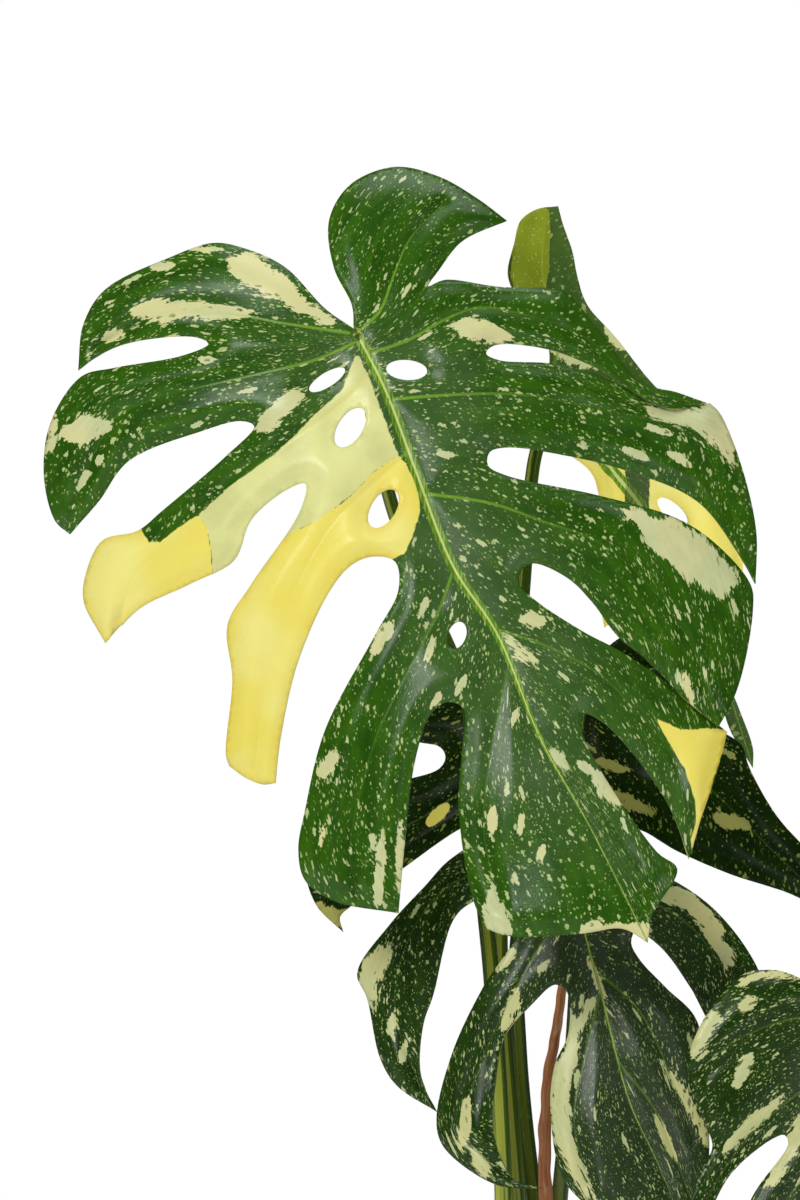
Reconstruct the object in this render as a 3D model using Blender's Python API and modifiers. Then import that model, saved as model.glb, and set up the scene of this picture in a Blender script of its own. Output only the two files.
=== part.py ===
"""Variegated monstera in a round plastic pot, in metres, +Z up.

The origin is the centre of the pot's base. The plant faces -Y: its blades hang from petioles
that rise from a short stem in the soil. Each blade is a thin sheet. Its outline is drawn in
its front view, in millimetres right (x) and up (z) from the point where its petiole joins it.
"""

import math

import bmesh
import bpy
import numpy as np
from mathutils import Vector
from mathutils.geometry import delaunay_2d_cdt

MM = 0.001
GAP = 0.3 * MM  # between pieces that touch

# Pot: a tapered round wall with a rim band, a flat floor and a ring of drain holes.
POT_HEIGHT = 200 * MM
RIM_RADIUS = 115 * MM
BASE_RADIUS = 82 * MM
POT_WALL = 2.5 * MM
POT_FLOOR = 3 * MM
RIM_BAND_HEIGHT = 24 * MM
RIM_BAND_STEP = 3 * MM
DRAIN_HOLES = 8
DRAIN_RADIUS = 5 * MM
DRAIN_RING_RADIUS = 55 * MM
POT_SEGMENTS = 40

# Soil: its edge lies this far under the rim, and it rises to a low crown round the stem.
SOIL_DEPTH_BELOW_RIM = 28 * MM
SOIL_CROWN = 5 * MM

# Main stem: stands in the soil, and carries the petioles.
STEM_RADIUS = 13 * MM
STEM_IN_SOIL = 70 * MM
STEM_ABOVE_SOIL = 72 * MM
STEM_X = -5 * MM

# Petioles: round, thicker at the stem than at the blade.
PETIOLE_BASE_RADIUS = 6.2 * MM
PETIOLE_TOP_RADIUS = 4.0 * MM
PETIOLE_STEP = 16 * MM
KNEE = 14 * MM  # the straight end that meets the blade squarely

BLADE_THICKNESS = 1.1 * MM
PLANT_SCALE = 1.0  # of the blades, their joints and the petioles' routes
OUTLINE_STEP = 8 * MM
SHEET_GRID = 17 * MM
FLAT_ROUND_JOINT = 9 * MM  # the blade is plain this far round its joint

STEM_TOP = POT_HEIGHT - SOIL_DEPTH_BELOW_RIM + STEM_ABOVE_SOIL

# Each blade: joint is the petiole joint, with its height above the stem's top. lean is how far
# the sheet goes back (+Y) per metre right and up, droop how fast it bends back away from the
# midrib, per metre. front is -1 where the petiole comes to it from the front.
# outline holds one run for each slot: from a lobe's tip, round the slot, to the next tip.
BLADES = {
    "front": {
        "joint": (-113, -62, 597),
        "lean": (0.02, 0.30),
        "droop": 1.9,
        "front": 1,
        "midrib": [
            (0, 0), (17, -34), (35, -82), (58, -141), (84, -181), (110, -244), (139, -296), (173, -364),
        ],
        "outline": [
            [
                (-2, 3), (-19, 15), (-44, 41), (-70, 53), (-88, 56), (-115, 47), (-154, 28), (-167, 7),
                (-170, -21),
            ],
            [
                (-170, -21), (-154, -10), (-136, -4), (-97, -2), (-90, -6), (-106, -13), (-148, -20),
                (-168, -25), (-187, -53), (-191, -86), (-184, -113), (-175, -121),
            ],
            [
                (-175, -121), (-157, -101), (-139, -77), (-94, -59), (-70, -53), (-62, -56), (-79, -74),
                (-118, -107), (-133, -119), (-155, -125), (-166, -149), (-166, -163), (-153, -187),
            ],
            [
                (-153, -187), (-133, -167), (-100, -151), (-74, -137), (-64, -113), (-43, -95), (-31, -91),
                (-34, -107), (-64, -152), (-78, -176), (-75, -209), (-79, -254), (-77, -261),
            ],
            [(-77, -261), (-67, -268), (-56, -272), (-49, -271)],
            [
                (-49, -271), (-46, -245), (-35, -197), (-16, -155), (-3, -140), (10, -135), (23, -138),
                (25, -155), (11, -182), (-19, -239), (-31, -287), (-35, -311), (-31, -329), (-14, -341),
                (25, -348),
            ],
            [
                (25, -348), (29, -305), (35, -257), (44, -230), (54, -222), (64, -226), (63, -251),
                (61, -287), (70, -341), (78, -357),
            ],
            [(78, -357), (92, -361), (134, -359), (158, -356), (173, -364)],
            [
                (173, -364), (176, -348), (191, -321), (179, -311), (146, -263), (135, -240), (136, -229),
                (146, -233), (162, -249), (185, -281), (193, -299), (198, -315),
            ],
            [(198, -315), (205, -293), (217, -260), (222, -240)],
            [
                (222, -240), (202, -224), (183, -208), (157, -191), (136, -180), (107, -161), (98, -152),
                (99, -143), (106, -139), (127, -148), (142, -163), (157, -183), (186, -205), (205, -221),
                (220, -233),
            ],
            [
                (220, -233), (229, -215), (239, -167), (238, -152), (218, -128), (194, -112), (146, -98),
                (90, -86), (79, -80), (80, -72), (90, -69), (122, -73), (164, -83), (206, -101), (230, -131),
                (241, -151),
            ],
            [(241, -151), (242, -119), (233, -77), (221, -47), (215, -41)],
            [
                (215, -41), (190, -43), (170, -36), (150, -26), (119, -18), (86, -16), (78, -12), (83, -7),
                (116, -9), (152, -23), (172, -33), (192, -40), (214, -36),
            ],
            [
                (214, -36), (197, -31), (179, -27), (168, -22), (146, 4), (134, 19), (125, 27), (86, 29),
                (53, 33), (43, 29), (49, 38), (64, 57), (91, 70),
            ],
            [
                (91, 70), (74, 83), (50, 97), (23, 103), (-4, 92), (-17, 70), (-14, 40), (-3, 17), (-2, 3),
            ],
        ],
        "holes": [
            (-18, -28, 12.5, 4.5, 32), (-4, -57, 13.5, 7.5, 58), (16, -106, 13, 7.5, 58),
            (30, -22, 12.5, 6.3, -4), (60, -182, 8.5, 5.5, 70),
        ],
    },
    "rear": {
        "joint": (0, 60, 557),
        "lean": (0.30, -0.32),
        "droop": 1.6,
        "front": -1,
        "midrib": [(0, 0), (25, -22), (60, -60), (90, -110), (115, -170), (134, -226)],
        "outline": [
            [
                (-2, 5), (-4, -12), (1, -23), (17, -31), (31, -42), (36, -56), (42, -100), (38, -121),
                (40, -138),
            ],
            [
                (40, -138), (52, -129), (56, -114), (62, -108), (67, -114), (65, -138), (71, -162),
                (86, -181),
            ],
            [
                (86, -181), (95, -168), (101, -153), (106, -147), (110, -153), (112, -174), (119, -201),
                (134, -226),
            ],
            [(134, -226), (134, -214), (125, -189), (118, -171), (115, -138), (120, -120), (127, -106)],
            [
                (127, -106), (124, -88), (119, -66), (110, -36), (92, -8), (68, 14), (46, 41), (28, 61),
                (22, 78), (19, 93), (13, 110), (10, 121),
            ],
            [
                (10, 121), (-3, 119), (-13, 112), (-17, 98), (-21, 79), (-16, 66), (-4, 53), (4, 36), (4, 18),
                (-2, 5),
            ],
        ],
        "holes": [(52, -20, 12, 5, -20), (82, -66, 12, 5, -40)],
    },
    "middle": {
        "joint": (28, 60, 381),
        "lean": (-0.05, 0.32),
        "droop": 1.5,
        "front": 1,
        "midrib": [(0, 0), (-5, -40), (-12, -85), (-33, -141)],
        "outline": [
            [(0, 6), (-12, 18), (-36, 24), (-66, 23), (-96, 11), (-123, -9), (-145, -33)],
            [
                (-145, -33), (-126, -32), (-103, -33), (-90, -36), (-87, -42), (-91, -49), (-132, -62),
                (-159, -81), (-174, -97), (-172, -120), (-165, -135), (-150, -149),
            ],
            [
                (-150, -149), (-152, -140), (-145, -133), (-112, -109), (-79, -86), (-67, -81), (-61, -88),
                (-62, -102), (-54, -123), (-33, -141),
            ],
            [
                (-33, -141), (-6, -137), (15, -123), (24, -102), (25, -89), (31, -86), (55, -99), (87, -113),
                (126, -126), (147, -137), (167, -153),
            ],
            [
                (167, -153), (163, -135), (147, -111), (117, -78), (100, -48), (95, -34), (69, -19), (54, -8),
                (57, -2), (66, 0), (83, 7),
            ],
            [(83, 7), (75, 24), (54, 36), (30, 36), (11, 24), (0, 6)],
        ],
        "holes": [(-42, -38, 12, 5, 20), (34, -38, 11, 5, -35)],
    },
    "low": {
        "joint": (20, -78, 260),
        "lean": (-0.06, 0.28),
        "droop": 1.8,
        "front": 1,
        "midrib": [(0, 0), (4, -23), (15, -65), (22, -94), (31, -126), (49, -165), (72, -226)],
        "outline": [
            [
                (1, 4), (-12, 19), (-36, 28), (-57, 30), (-77, 19), (-92, 3), (-113, -20), (-133, -50),
                (-127, -65), (-119, -101), (-109, -117), (-85, -132),
            ],
            [
                (-85, -132), (-95, -110), (-93, -80), (-87, -62), (-75, -17), (-65, -7), (-50, -2), (-41, -8),
                (-38, -26), (-57, -57), (-75, -95), (-85, -134), (-83, -149), (-74, -160), (-48, -175),
                (-21, -176),
            ],
            [
                (-21, -176), (-40, -170), (-51, -143), (-50, -117), (-44, -86), (-28, -67), (-14, -55),
                (-7, -59), (-6, -84), (-14, -102), (-17, -128), (-10, -169), (6, -187), (30, -204),
                (54, -214), (72, -226),
            ],
            [
                (72, -226), (72, -198), (78, -151), (76, -124), (71, -76), (53, -57), (37, -40), (32, -30),
                (35, -23), (49, -32), (67, -56), (85, -88), (109, -107),
            ],
            [(109, -107), (118, -82), (108, -45), (82, -10), (52, 10), (36, 15), (18, 14), (1, 4)],
        ],
        "holes": [],
    },
    "side": {
        "joint": (194, -152, 181),
        "lean": (0.30, 0.20),
        "droop": 1.7,
        "front": 1,
        "midrib": [(0, 0), (-2, -20), (-8, -70), (-16, -130), (-24, -219)],
        "outline": [
            [
                (-1, 4), (-20, 18), (-53, 34), (-65, 35), (-76, 33), (-97, 12), (-110, -19), (-104, -47),
                (-96, -69), (-103, -82), (-113, -120), (-110, -139),
            ],
            [
                (-110, -139), (-103, -121), (-86, -86), (-60, -64), (-53, -62), (-51, -67), (-74, -101),
                (-83, -147), (-76, -171),
            ],
            [
                (-76, -171), (-54, -137), (-44, -119), (-38, -115), (-36, -121), (-44, -168), (-41, -195),
                (-24, -219),
            ],
            [(-24, -219), (-11, -198), (2, -147), (7, -139), (13, -144), (20, -165), (37, -186)],
            [(37, -186), (50, -162), (54, -135), (43, -93), (46, -86), (53, -90), (64, -105), (81, -117)],
            [(81, -117), (86, -90), (79, -60), (57, -33), (61, -24), (74, -27), (92, -36)],
            [(92, -36), (91, -9), (76, 15), (52, 27), (28, 27), (10, 15), (-1, 4)],
        ],
        "holes": [(-32, -50, 9, 4, 60), (22, -45, 9, 4, -55)],
    },
}

# Each petiole: where it leaves the stem (the side's direction in degrees from +X, and how far
# below the stem's top), then the points that it bends through on its way to its blade's knee.
# Heights are above the stem's top.
PETIOLES = {
    "front": {
        "side": 190,
        "below": 6,
        "through": [
            (-24, -8, 76), (-31, -10, 203), (-36, -6, 255), (-42, 0, 328), (-46, 4, 376), (-70, 8, 436),
            (-92, 2, 494), (-102, -10, 538), (-108, -24, 572),
        ],
    },
    "rear": {
        "side": 110,
        "below": 14,
        "through": [(-16, 9, 76), (-26, 12, 232), (-19, 14, 340), (-11, 18, 450), (-5, 24, 520)],
    },
    "middle": {
        "side": 50,
        "below": 26,
        "through": [(-6, 20, 76), (-14, 40, 160), (-14, 66, 232), (4, 92, 300), (22, 94, 352)],
    },
    "low": {
        "side": -60,
        "below": 34,
        "through": [(10, -16, 70), (16, -30, 140), (20, -46, 215)],
    },
    "side": {
        "side": 0,
        "below": 48,
        "through": [(30, -14, 0), (78, -48, 64), (140, -92, 128), (178, -120, 158)],
    },
}

# Dried leaf sheath: a narrow curled strip beside the petioles.
SHEATH_WIDTH = 9 * MM
SHEATH_THICKNESS = 1.6 * MM
SHEATH_POINTS = [(8, -29, 8), (1, -30, 84), (3, -31, 145), (9, -32, 182), (14, -32, 222)]

GREEN = (0.045, 0.13, 0.025)
CREAM = (0.62, 0.62, 0.34)
STALK = (0.13, 0.22, 0.05)
BARK = (0.16, 0.15, 0.07)
RUST = (0.33, 0.12, 0.045)
EARTH = (0.055, 0.035, 0.022)
PLASTIC = (0.30, 0.13, 0.075)


def clear_scene():
    for thing in list(bpy.data.objects):
        bpy.data.objects.remove(thing, do_unlink=True)


def new_collection(name):
    group = bpy.data.collections.new(name)
    bpy.context.scene.collection.children.link(group)
    return group


def material(name, colour, roughness):
    made = bpy.data.materials.new(name)
    made.use_nodes = True
    shader = made.node_tree.nodes["Principled BSDF"]
    shader.inputs["Base Color"].default_value = (*colour, 1)
    shader.inputs["Roughness"].default_value = roughness
    shader.inputs["Metallic"].default_value = 0
    return made


def add_object(name, mesh, group, look):
    thing = bpy.data.objects.new(name, mesh)
    group.objects.link(thing)
    mesh.materials.clear()
    if look:
        mesh.materials.append(look)
    return thing


def smooth_run(points, step):
    """Points about a step apart on a smooth curve (centripetal Catmull-Rom) through the points."""
    points = [np.array(point, float) for point in points]
    points = [2 * points[0] - points[1], *points, 2 * points[-1] - points[-2]]
    run = [points[1]]
    for before, start, end, after in zip(points, points[1:], points[2:], points[3:]):
        gaps = [math.sqrt(np.linalg.norm(b - a)) for a, b in ((before, start), (start, end), (end, after))]
        count = max(1, round(np.linalg.norm(end - start) / step))
        slope_in = (start - before) / gaps[0] - (end - before) / (gaps[0] + gaps[1]) + (end - start) / gaps[1]
        slope_out = (end - start) / gaps[1] - (after - start) / (gaps[1] + gaps[2]) + (after - end) / gaps[2]
        for part in range(1, count + 1):
            t = part / count
            run.append(
                (2 * t**3 - 3 * t**2 + 1) * start
                + (t**3 - 2 * t**2 + t) * slope_in * gaps[1]
                + (3 * t**2 - 2 * t**3) * end
                + (t**3 - t**2) * slope_out * gaps[1]
            )
    return run


def outline_loop(blade):
    """The blade's closed outline, in metres, as points in order."""
    scale = MM * PLANT_SCALE
    loop = []
    for run in blade["outline"]:
        corners = [(x * scale, z * scale) for x, z in run]
        loop += smooth_run(corners, OUTLINE_STEP)[:-1]
    return np.array(loop)


def hole_loop(hole):
    """An oval hole: centre, half length, half width and the angle of its length."""
    x, z, half_length, half_width, angle = hole
    turn = math.radians(angle)
    loop = []
    for part in range(10):
        round_angle = math.tau * part / 10
        along = half_length * math.cos(round_angle)
        across = half_width * math.sin(round_angle)
        loop.append(
            (
                x + along * math.cos(turn) - across * math.sin(turn),
                z + along * math.sin(turn) + across * math.cos(turn),
            )
        )
    return np.array(loop) * MM * PLANT_SCALE


def distance_to_line(points, line):
    """Each point's distance to a polyline."""
    nearest = np.full(len(points), np.inf)
    for start, end in zip(line, line[1:]):
        along = end - start
        share = np.clip((points - start) @ along / (along @ along), 0, 1)
        nearest = np.minimum(nearest, np.linalg.norm(points - start - share[:, None] * along, axis=1))
    return nearest


def inside(points, loop):
    """Whether each point lies inside the closed loop."""
    result = np.zeros(len(points), bool)
    for start, end in zip(loop, np.roll(loop, -1, axis=0)):
        spans = (start[1] > points[:, 1]) != (end[1] > points[:, 1])
        with np.errstate(divide="ignore", invalid="ignore"):
            cross = start[0] + (points[:, 1] - start[1]) / (end[1] - start[1]) * (end[0] - start[0])
        result ^= spans & (points[:, 0] < cross)
    return result


def sheet_points(loops, grid):
    """A triangular grid of points inside the first loop, outside the others, and off every edge."""
    outer = loops[0]
    low, high = outer.min(axis=0), outer.max(axis=0)
    points = []
    row_height = grid * math.sqrt(3) / 2
    for row in range(int((high[1] - low[1]) / row_height) + 1):
        offset = grid / 2 * (row % 2)
        for column in range(int((high[0] - low[0]) / grid) + 1):
            points.append((low[0] + offset + column * grid, low[1] + row * row_height))
    points = np.array(points)
    keep = inside(points, outer)
    for loop in loops[1:]:
        keep &= ~inside(points, loop)
    points = points[keep]
    for loop in loops:
        points = points[distance_to_line(points, np.vstack([loop, loop[:1]])) > grid * 0.5]
    return points


def sheet_depth(blade, points):
    """How far back (+Y) the sheet lies at each point, from its joint."""
    midrib = np.array(blade["midrib"]) * MM * PLANT_SCALE
    away = distance_to_line(points, midrib)
    reach = np.linalg.norm(points, axis=1)
    ease = np.clip((reach - FLAT_ROUND_JOINT) / FLAT_ROUND_JOINT, 0, 1)
    lean_x, lean_z = blade["lean"]
    return lean_x * points[:, 0] + lean_z * points[:, 1] + blade["droop"] * away**2 * ease


def above_stem(spot):
    """A point given in millimetres from the pot's axis, with its height above the stem's top."""
    x, y, height = spot
    return Vector((0, 0, STEM_TOP)) + Vector((x, y, height)) * MM * PLANT_SCALE


def joint_of(blade):
    return above_stem(blade["joint"])


def blade_back(blade):
    """The direction from the sheet to the side that its petiole comes from."""
    lean_x, lean_z = blade["lean"]
    return Vector((-lean_x, 1, -lean_z)).normalized() * blade["front"]


def make_blade(name, blade, group, look):
    loops = [outline_loop(blade)] + [hole_loop(hole) for hole in blade["holes"]]
    points = np.vstack([*loops, sheet_points(loops, SHEET_GRID)])
    faces = []
    first = 0
    for loop in loops:
        faces.append(list(range(first, first + len(loop))))
        first += len(loop)
    edges = [(loop[i - 1], loop[i]) for loop in faces for i in range(len(loop))]
    triangles = delaunay_2d_cdt([Vector(point) for point in points], edges, [], 0, 1e-7)
    flat = np.array([tuple(point) for point in triangles[0]])
    corners = np.array(triangles[2])
    centres = flat[corners].mean(axis=1)
    keep = inside(centres, loops[0])
    for loop in loops[1:]:
        keep &= ~inside(centres, loop)
    joint = joint_of(blade)
    depth = sheet_depth(blade, flat)
    mesh = bpy.data.meshes.new(name)
    mesh.from_pydata(
        [(joint.x + x, joint.y + y, joint.z + z) for (x, z), y in zip(flat, depth)],
        [],
        corners[keep].tolist(),
    )
    body = bmesh.new()
    body.from_mesh(mesh)
    bmesh.ops.delete(body, geom=[v for v in body.verts if not v.link_faces], context="VERTS")
    bmesh.ops.recalc_face_normals(body, faces=body.faces)
    body.to_mesh(mesh)
    body.free()
    thing = add_object(name, mesh, group, look)
    shell = thing.modifiers.new("thickness", "SOLIDIFY")
    shell.thickness = BLADE_THICKNESS
    shell.offset = 0
    mesh.shade_smooth()
    return thing


def tube_mesh(name, points, radii):
    """A closed round tube through the points, as a mesh, from a curve with a bevel."""
    curve = bpy.data.curves.new(name, "CURVE")
    curve.dimensions = "3D"
    curve.bevel_depth = 1
    curve.bevel_resolution = 3
    curve.use_fill_caps = True
    spline = curve.splines.new("POLY")
    spline.points.add(len(points) - 1)
    for spot, point, radius in zip(spline.points, points, radii):
        spot.co = (*point, 1)
        spot.radius = radius
    guide = bpy.data.objects.new(name + "_curve", curve)
    bpy.context.scene.collection.objects.link(guide)
    bpy.context.view_layer.update()
    graph = bpy.context.evaluated_depsgraph_get()
    mesh = bpy.data.meshes.new_from_object(guide.evaluated_get(graph))
    bpy.data.objects.remove(guide, do_unlink=True)
    bpy.data.curves.remove(curve)
    body = bmesh.new()
    body.from_mesh(mesh)
    bmesh.ops.remove_doubles(body, verts=body.verts, dist=0.00001)
    bmesh.ops.recalc_face_normals(body, faces=body.faces)
    body.to_mesh(mesh)
    body.free()
    mesh.shade_smooth()
    mesh.set_sharp_from_angle(angle=math.radians(50))
    return mesh


def stem_mesh(name, extra):
    """The main stem, made larger by extra all round."""
    bottom = POT_HEIGHT - SOIL_DEPTH_BELOW_RIM - STEM_IN_SOIL - extra
    points = [
        (STEM_X, 0, bottom),
        (STEM_X, 0, bottom + STEM_IN_SOIL / 2),
        (STEM_X, 0, STEM_TOP - STEM_ABOVE_SOIL / 2),
        (STEM_X, 0, STEM_TOP - STEM_RADIUS / 2),
        (STEM_X, 0, STEM_TOP + extra),
    ]
    radii = [STEM_RADIUS + extra] * 4 + [STEM_RADIUS * 0.7 + extra]
    return tube_mesh(name, points, radii)


def make_petiole(name, petiole, blade, group, look, stem_cutter):
    turn = math.radians(petiole["side"])
    outward = Vector((math.cos(turn), math.sin(turn), 0))
    on_axis = Vector((STEM_X, 0, STEM_TOP - petiole["below"] * MM))
    leaving = on_axis + outward * (STEM_RADIUS + PETIOLE_BASE_RADIUS) + Vector((0, 0, STEM_RADIUS * 1.6))
    back = blade_back(blade)
    end = joint_of(blade) + back * (BLADE_THICKNESS / 2 + GAP)
    route = [on_axis + outward * STEM_RADIUS * 0.5, leaving]
    route += [above_stem(spot) for spot in petiole["through"]]
    route += [end + back * KNEE, end]
    points = smooth_run(route, PETIOLE_STEP)
    lengths = np.cumsum([0] + [np.linalg.norm(b - a) for a, b in zip(points, points[1:])])
    radii = PETIOLE_BASE_RADIUS + (PETIOLE_TOP_RADIUS - PETIOLE_BASE_RADIUS) * (lengths / lengths[-1]) ** 0.6
    thing = add_object(name, tube_mesh(name, points, radii), group, look)
    cut = thing.modifiers.new("seat_on_stem", "BOOLEAN")
    cut.operation = "DIFFERENCE"
    cut.object = stem_cutter
    return thing


def turned(name, profile, segments, group, look):
    """A turned solid: the profile (radius, height) runs down its outer side and back to the axis."""
    mesh = bpy.data.meshes.new(name)
    edges = [(i, i + 1) for i in range(len(profile) - 1)]
    mesh.from_pydata([(radius, 0, height) for radius, height in profile], edges, [])
    thing = add_object(name, mesh, group, look)
    screw = thing.modifiers.new("turn", "SCREW")
    screw.steps = segments
    screw.render_steps = segments
    screw.use_merge_vertices = True
    screw.merge_threshold = 0.00001
    return thing


def wall_radius(height):
    """The pot wall's outer radius at a height."""
    return BASE_RADIUS + (RIM_RADIUS - RIM_BAND_STEP - BASE_RADIUS) * height / POT_HEIGHT


def make_pot(group, cutters, look):
    band_foot = POT_HEIGHT - RIM_BAND_HEIGHT
    profile = [
        (0, POT_FLOOR),
        (wall_radius(POT_FLOOR) - POT_WALL, POT_FLOOR),
        (wall_radius(POT_HEIGHT) - POT_WALL, POT_HEIGHT),
        (RIM_RADIUS, POT_HEIGHT),
        (wall_radius(band_foot) + RIM_BAND_STEP, band_foot),
        (wall_radius(band_foot), band_foot - RIM_BAND_STEP),
        (BASE_RADIUS, 0),
        (0, 0),
    ]
    pot = turned("pot", profile, POT_SEGMENTS, group, look)
    drains = bpy.data.meshes.new("drain_cutter")
    body = bmesh.new()
    for hole in range(DRAIN_HOLES):
        turn = math.tau * (hole + 0.5) / DRAIN_HOLES
        made = bmesh.ops.create_cone(
            body, cap_ends=True, segments=12, radius1=DRAIN_RADIUS, radius2=DRAIN_RADIUS, depth=POT_FLOOR * 4
        )
        spot = Vector((math.cos(turn), math.sin(turn), 0)) * DRAIN_RING_RADIUS
        bmesh.ops.translate(body, verts=made["verts"], vec=spot)
    body.to_mesh(drains)
    body.free()
    cutter = add_object("drain_cutter", drains, cutters, None)
    cutter.hide_render = True
    cutter.display_type = "WIRE"
    cut = pot.modifiers.new("drains", "BOOLEAN")
    cut.operation = "DIFFERENCE"
    cut.object = cutter
    return pot


def make_soil(group, look, stem_cutter):
    edge = POT_HEIGHT - SOIL_DEPTH_BELOW_RIM
    bottom = POT_FLOOR + GAP
    inner = POT_WALL + GAP
    profile = [
        (0, edge + SOIL_CROWN),
        (wall_radius(edge) * 0.45, edge + SOIL_CROWN * 0.8),
        (wall_radius(edge) * 0.8, edge + SOIL_CROWN * 0.25),
        (wall_radius(edge) - inner, edge),
        (wall_radius(bottom) - inner, bottom),
        (0, bottom),
    ]
    soil = turned("soil", profile, POT_SEGMENTS, group, look)
    cut = soil.modifiers.new("stem_hole", "BOOLEAN")
    cut.operation = "DIFFERENCE"
    cut.object = stem_cutter
    return soil


def make_sheath(group, look):
    points = smooth_run([above_stem(spot) for spot in SHEATH_POINTS], PETIOLE_STEP)
    mesh = bpy.data.meshes.new("dried_sheath")
    body = bmesh.new()
    rows = []
    for index, point in enumerate(points):
        share = index / (len(points) - 1)
        half = SHEATH_WIDTH / 2 * (1 - 0.35 * share)
        curl = half * 0.5
        rows.append(
            [
                body.verts.new(Vector(point) + Vector((side * half, curl * side * side, 0)))
                for side in (-1, -0.5, 0, 0.5, 1)
            ]
        )
    for low, high in zip(rows, rows[1:]):
        for left in range(len(low) - 1):
            body.faces.new((low[left], low[left + 1], high[left + 1], high[left]))
    bmesh.ops.recalc_face_normals(body, faces=body.faces)
    body.to_mesh(mesh)
    body.free()
    thing = add_object("dried_sheath", mesh, group, look)
    shell = thing.modifiers.new("thickness", "SOLIDIFY")
    shell.thickness = SHEATH_THICKNESS
    shell.offset = 0
    return thing


def main():
    clear_scene()
    plant = new_collection("potted_monstera")
    cutters = new_collection("cutters")
    stalk_look = material("petiole_green", STALK, 0.4)
    cutter = add_object("stem_cutter", stem_mesh("stem_cutter", GAP), cutters, None)
    cutter.hide_render = True
    cutter.display_type = "WIRE"
    make_pot(plant, cutters, material("pot_plastic", PLASTIC, 0.6))
    make_soil(plant, material("potting_soil", EARTH, 0.95), cutter)
    add_object("main_stem", stem_mesh("main_stem", 0), plant, material("stem_bark", BARK, 0.7))
    for name, blade in BLADES.items():
        colour = CREAM if blade["front"] < 0 else GREEN
        make_blade("blade_" + name, blade, plant, material("leaf_" + name, colour, 0.45))
        make_petiole("petiole_" + name, PETIOLES[name], blade, plant, stalk_look, cutter)
    make_sheath(plant, material("sheath_brown", RUST, 0.8))


main()
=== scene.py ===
"""Potted variegated monstera: the visual model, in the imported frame, in metres, +Z up."""

import math

import bmesh
import bpy
import numpy as np
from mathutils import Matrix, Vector, noise
from mathutils.geometry import delaunay_2d_cdt


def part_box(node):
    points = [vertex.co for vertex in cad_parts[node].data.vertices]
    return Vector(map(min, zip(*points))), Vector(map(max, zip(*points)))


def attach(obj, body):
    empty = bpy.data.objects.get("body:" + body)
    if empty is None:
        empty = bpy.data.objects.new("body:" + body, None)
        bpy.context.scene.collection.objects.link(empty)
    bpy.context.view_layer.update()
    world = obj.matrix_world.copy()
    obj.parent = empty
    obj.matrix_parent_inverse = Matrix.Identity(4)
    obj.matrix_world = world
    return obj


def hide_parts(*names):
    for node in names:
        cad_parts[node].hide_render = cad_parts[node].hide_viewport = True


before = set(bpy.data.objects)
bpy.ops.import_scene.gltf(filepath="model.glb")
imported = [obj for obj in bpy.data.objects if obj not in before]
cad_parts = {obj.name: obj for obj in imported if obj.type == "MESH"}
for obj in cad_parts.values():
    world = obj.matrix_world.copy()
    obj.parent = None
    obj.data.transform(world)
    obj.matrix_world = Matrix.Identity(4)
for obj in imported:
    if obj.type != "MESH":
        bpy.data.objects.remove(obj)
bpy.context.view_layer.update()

MM = 0.001
GRID = 2.5 * MM  # the blades' mesh
VEIN_STEP = 2.0 * MM
LAMINA = 0.9 * MM  # a blade's thickness between its veins
RIB_DEPTH = 4.2 * MM  # how far the midrib stands out under the blade
VEIN_DEPTH = 1.1 * MM
BAND = 42.0  # mm of pattern between one side vein and the next
REACH = 30.0  # mm, the furthest that a patch's distance is kept
VEIN_INWARD, VEIN_ONWARD = 60 * MM, 80 * MM  # how far a side vein's pattern runs past its ends
DRAIN_HOLES = 8
CHIPS = 420  # bits of bark, grains and fibre on the soil
HOLE_SIDES = 26
PATCH_KINDS = ("cream", "yellow", "khaki")

STEM_LOW, STEM_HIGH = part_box("main_stem")
STEM_TOP = STEM_HIGH.z
STEM_X = (STEM_LOW.x + STEM_HIGH.x) / 2
STEM_RADIUS = (STEM_HIGH.y - STEM_LOW.y) / 2
PETIOLE_BASE_RADIUS = 6.2 * MM
PETIOLE_TOP_RADIUS = 4.0 * MM
KNEE = 14 * MM

# Each blade in its front view, in millimetres right and up from its petiole joint, as in the
# frame's CAD. A hole is an oval: its centre, half length, half width and the angle of its length.
BLADES = {
    "front": {
        "joint": (-113, -62, 597), "lean": (0.02, 0.3), "droop": 1.9, "front": 1,
        "midrib": [(0, 0), (17, -34), (35, -82), (58, -141), (84, -181), (110, -244), (139, -296), (173, -364)],
        "holes": [(-18, -28, 12.5, 4.5, 32), (-4, -57, 13.5, 7.5, 58), (16, -106, 13, 7.5, 58),
            (30, -22, 12.5, 6.3, -4), (60, -182, 8.5, 5.5, 70)],
    },
    "rear": {
        "joint": (0, 60, 557), "lean": (0.3, -0.32), "droop": 1.6, "front": -1,
        "midrib": [(0, 0), (25, -22), (60, -60), (90, -110), (115, -170), (134, -226)],
        "holes": [(52, -20, 12, 5, -20), (82, -66, 12, 5, -40)],
    },
    "middle": {
        "joint": (28, 60, 381), "lean": (-0.05, 0.32), "droop": 1.5, "front": 1,
        "midrib": [(0, 0), (-5, -40), (-12, -85), (-33, -141)],
        "holes": [(-42, -38, 12, 5, 20), (34, -38, 11, 5, -35)],
    },
    "low": {
        "joint": (20, -78, 260), "lean": (-0.06, 0.28), "droop": 1.8, "front": 1,
        "midrib": [(0, 0), (4, -23), (15, -65), (22, -94), (31, -126), (49, -165), (72, -226)],
        "holes": [],
    },
    "side": {
        "joint": (194, -152, 181), "lean": (0.3, 0.2), "droop": 1.7, "front": 1,
        "midrib": [(0, 0), (-2, -20), (-8, -70), (-16, -130), (-24, -219)],
        "holes": [(-32, -50, 9, 4, 60), (22, -45, 9, 4, -55)],
    },
}

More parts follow.
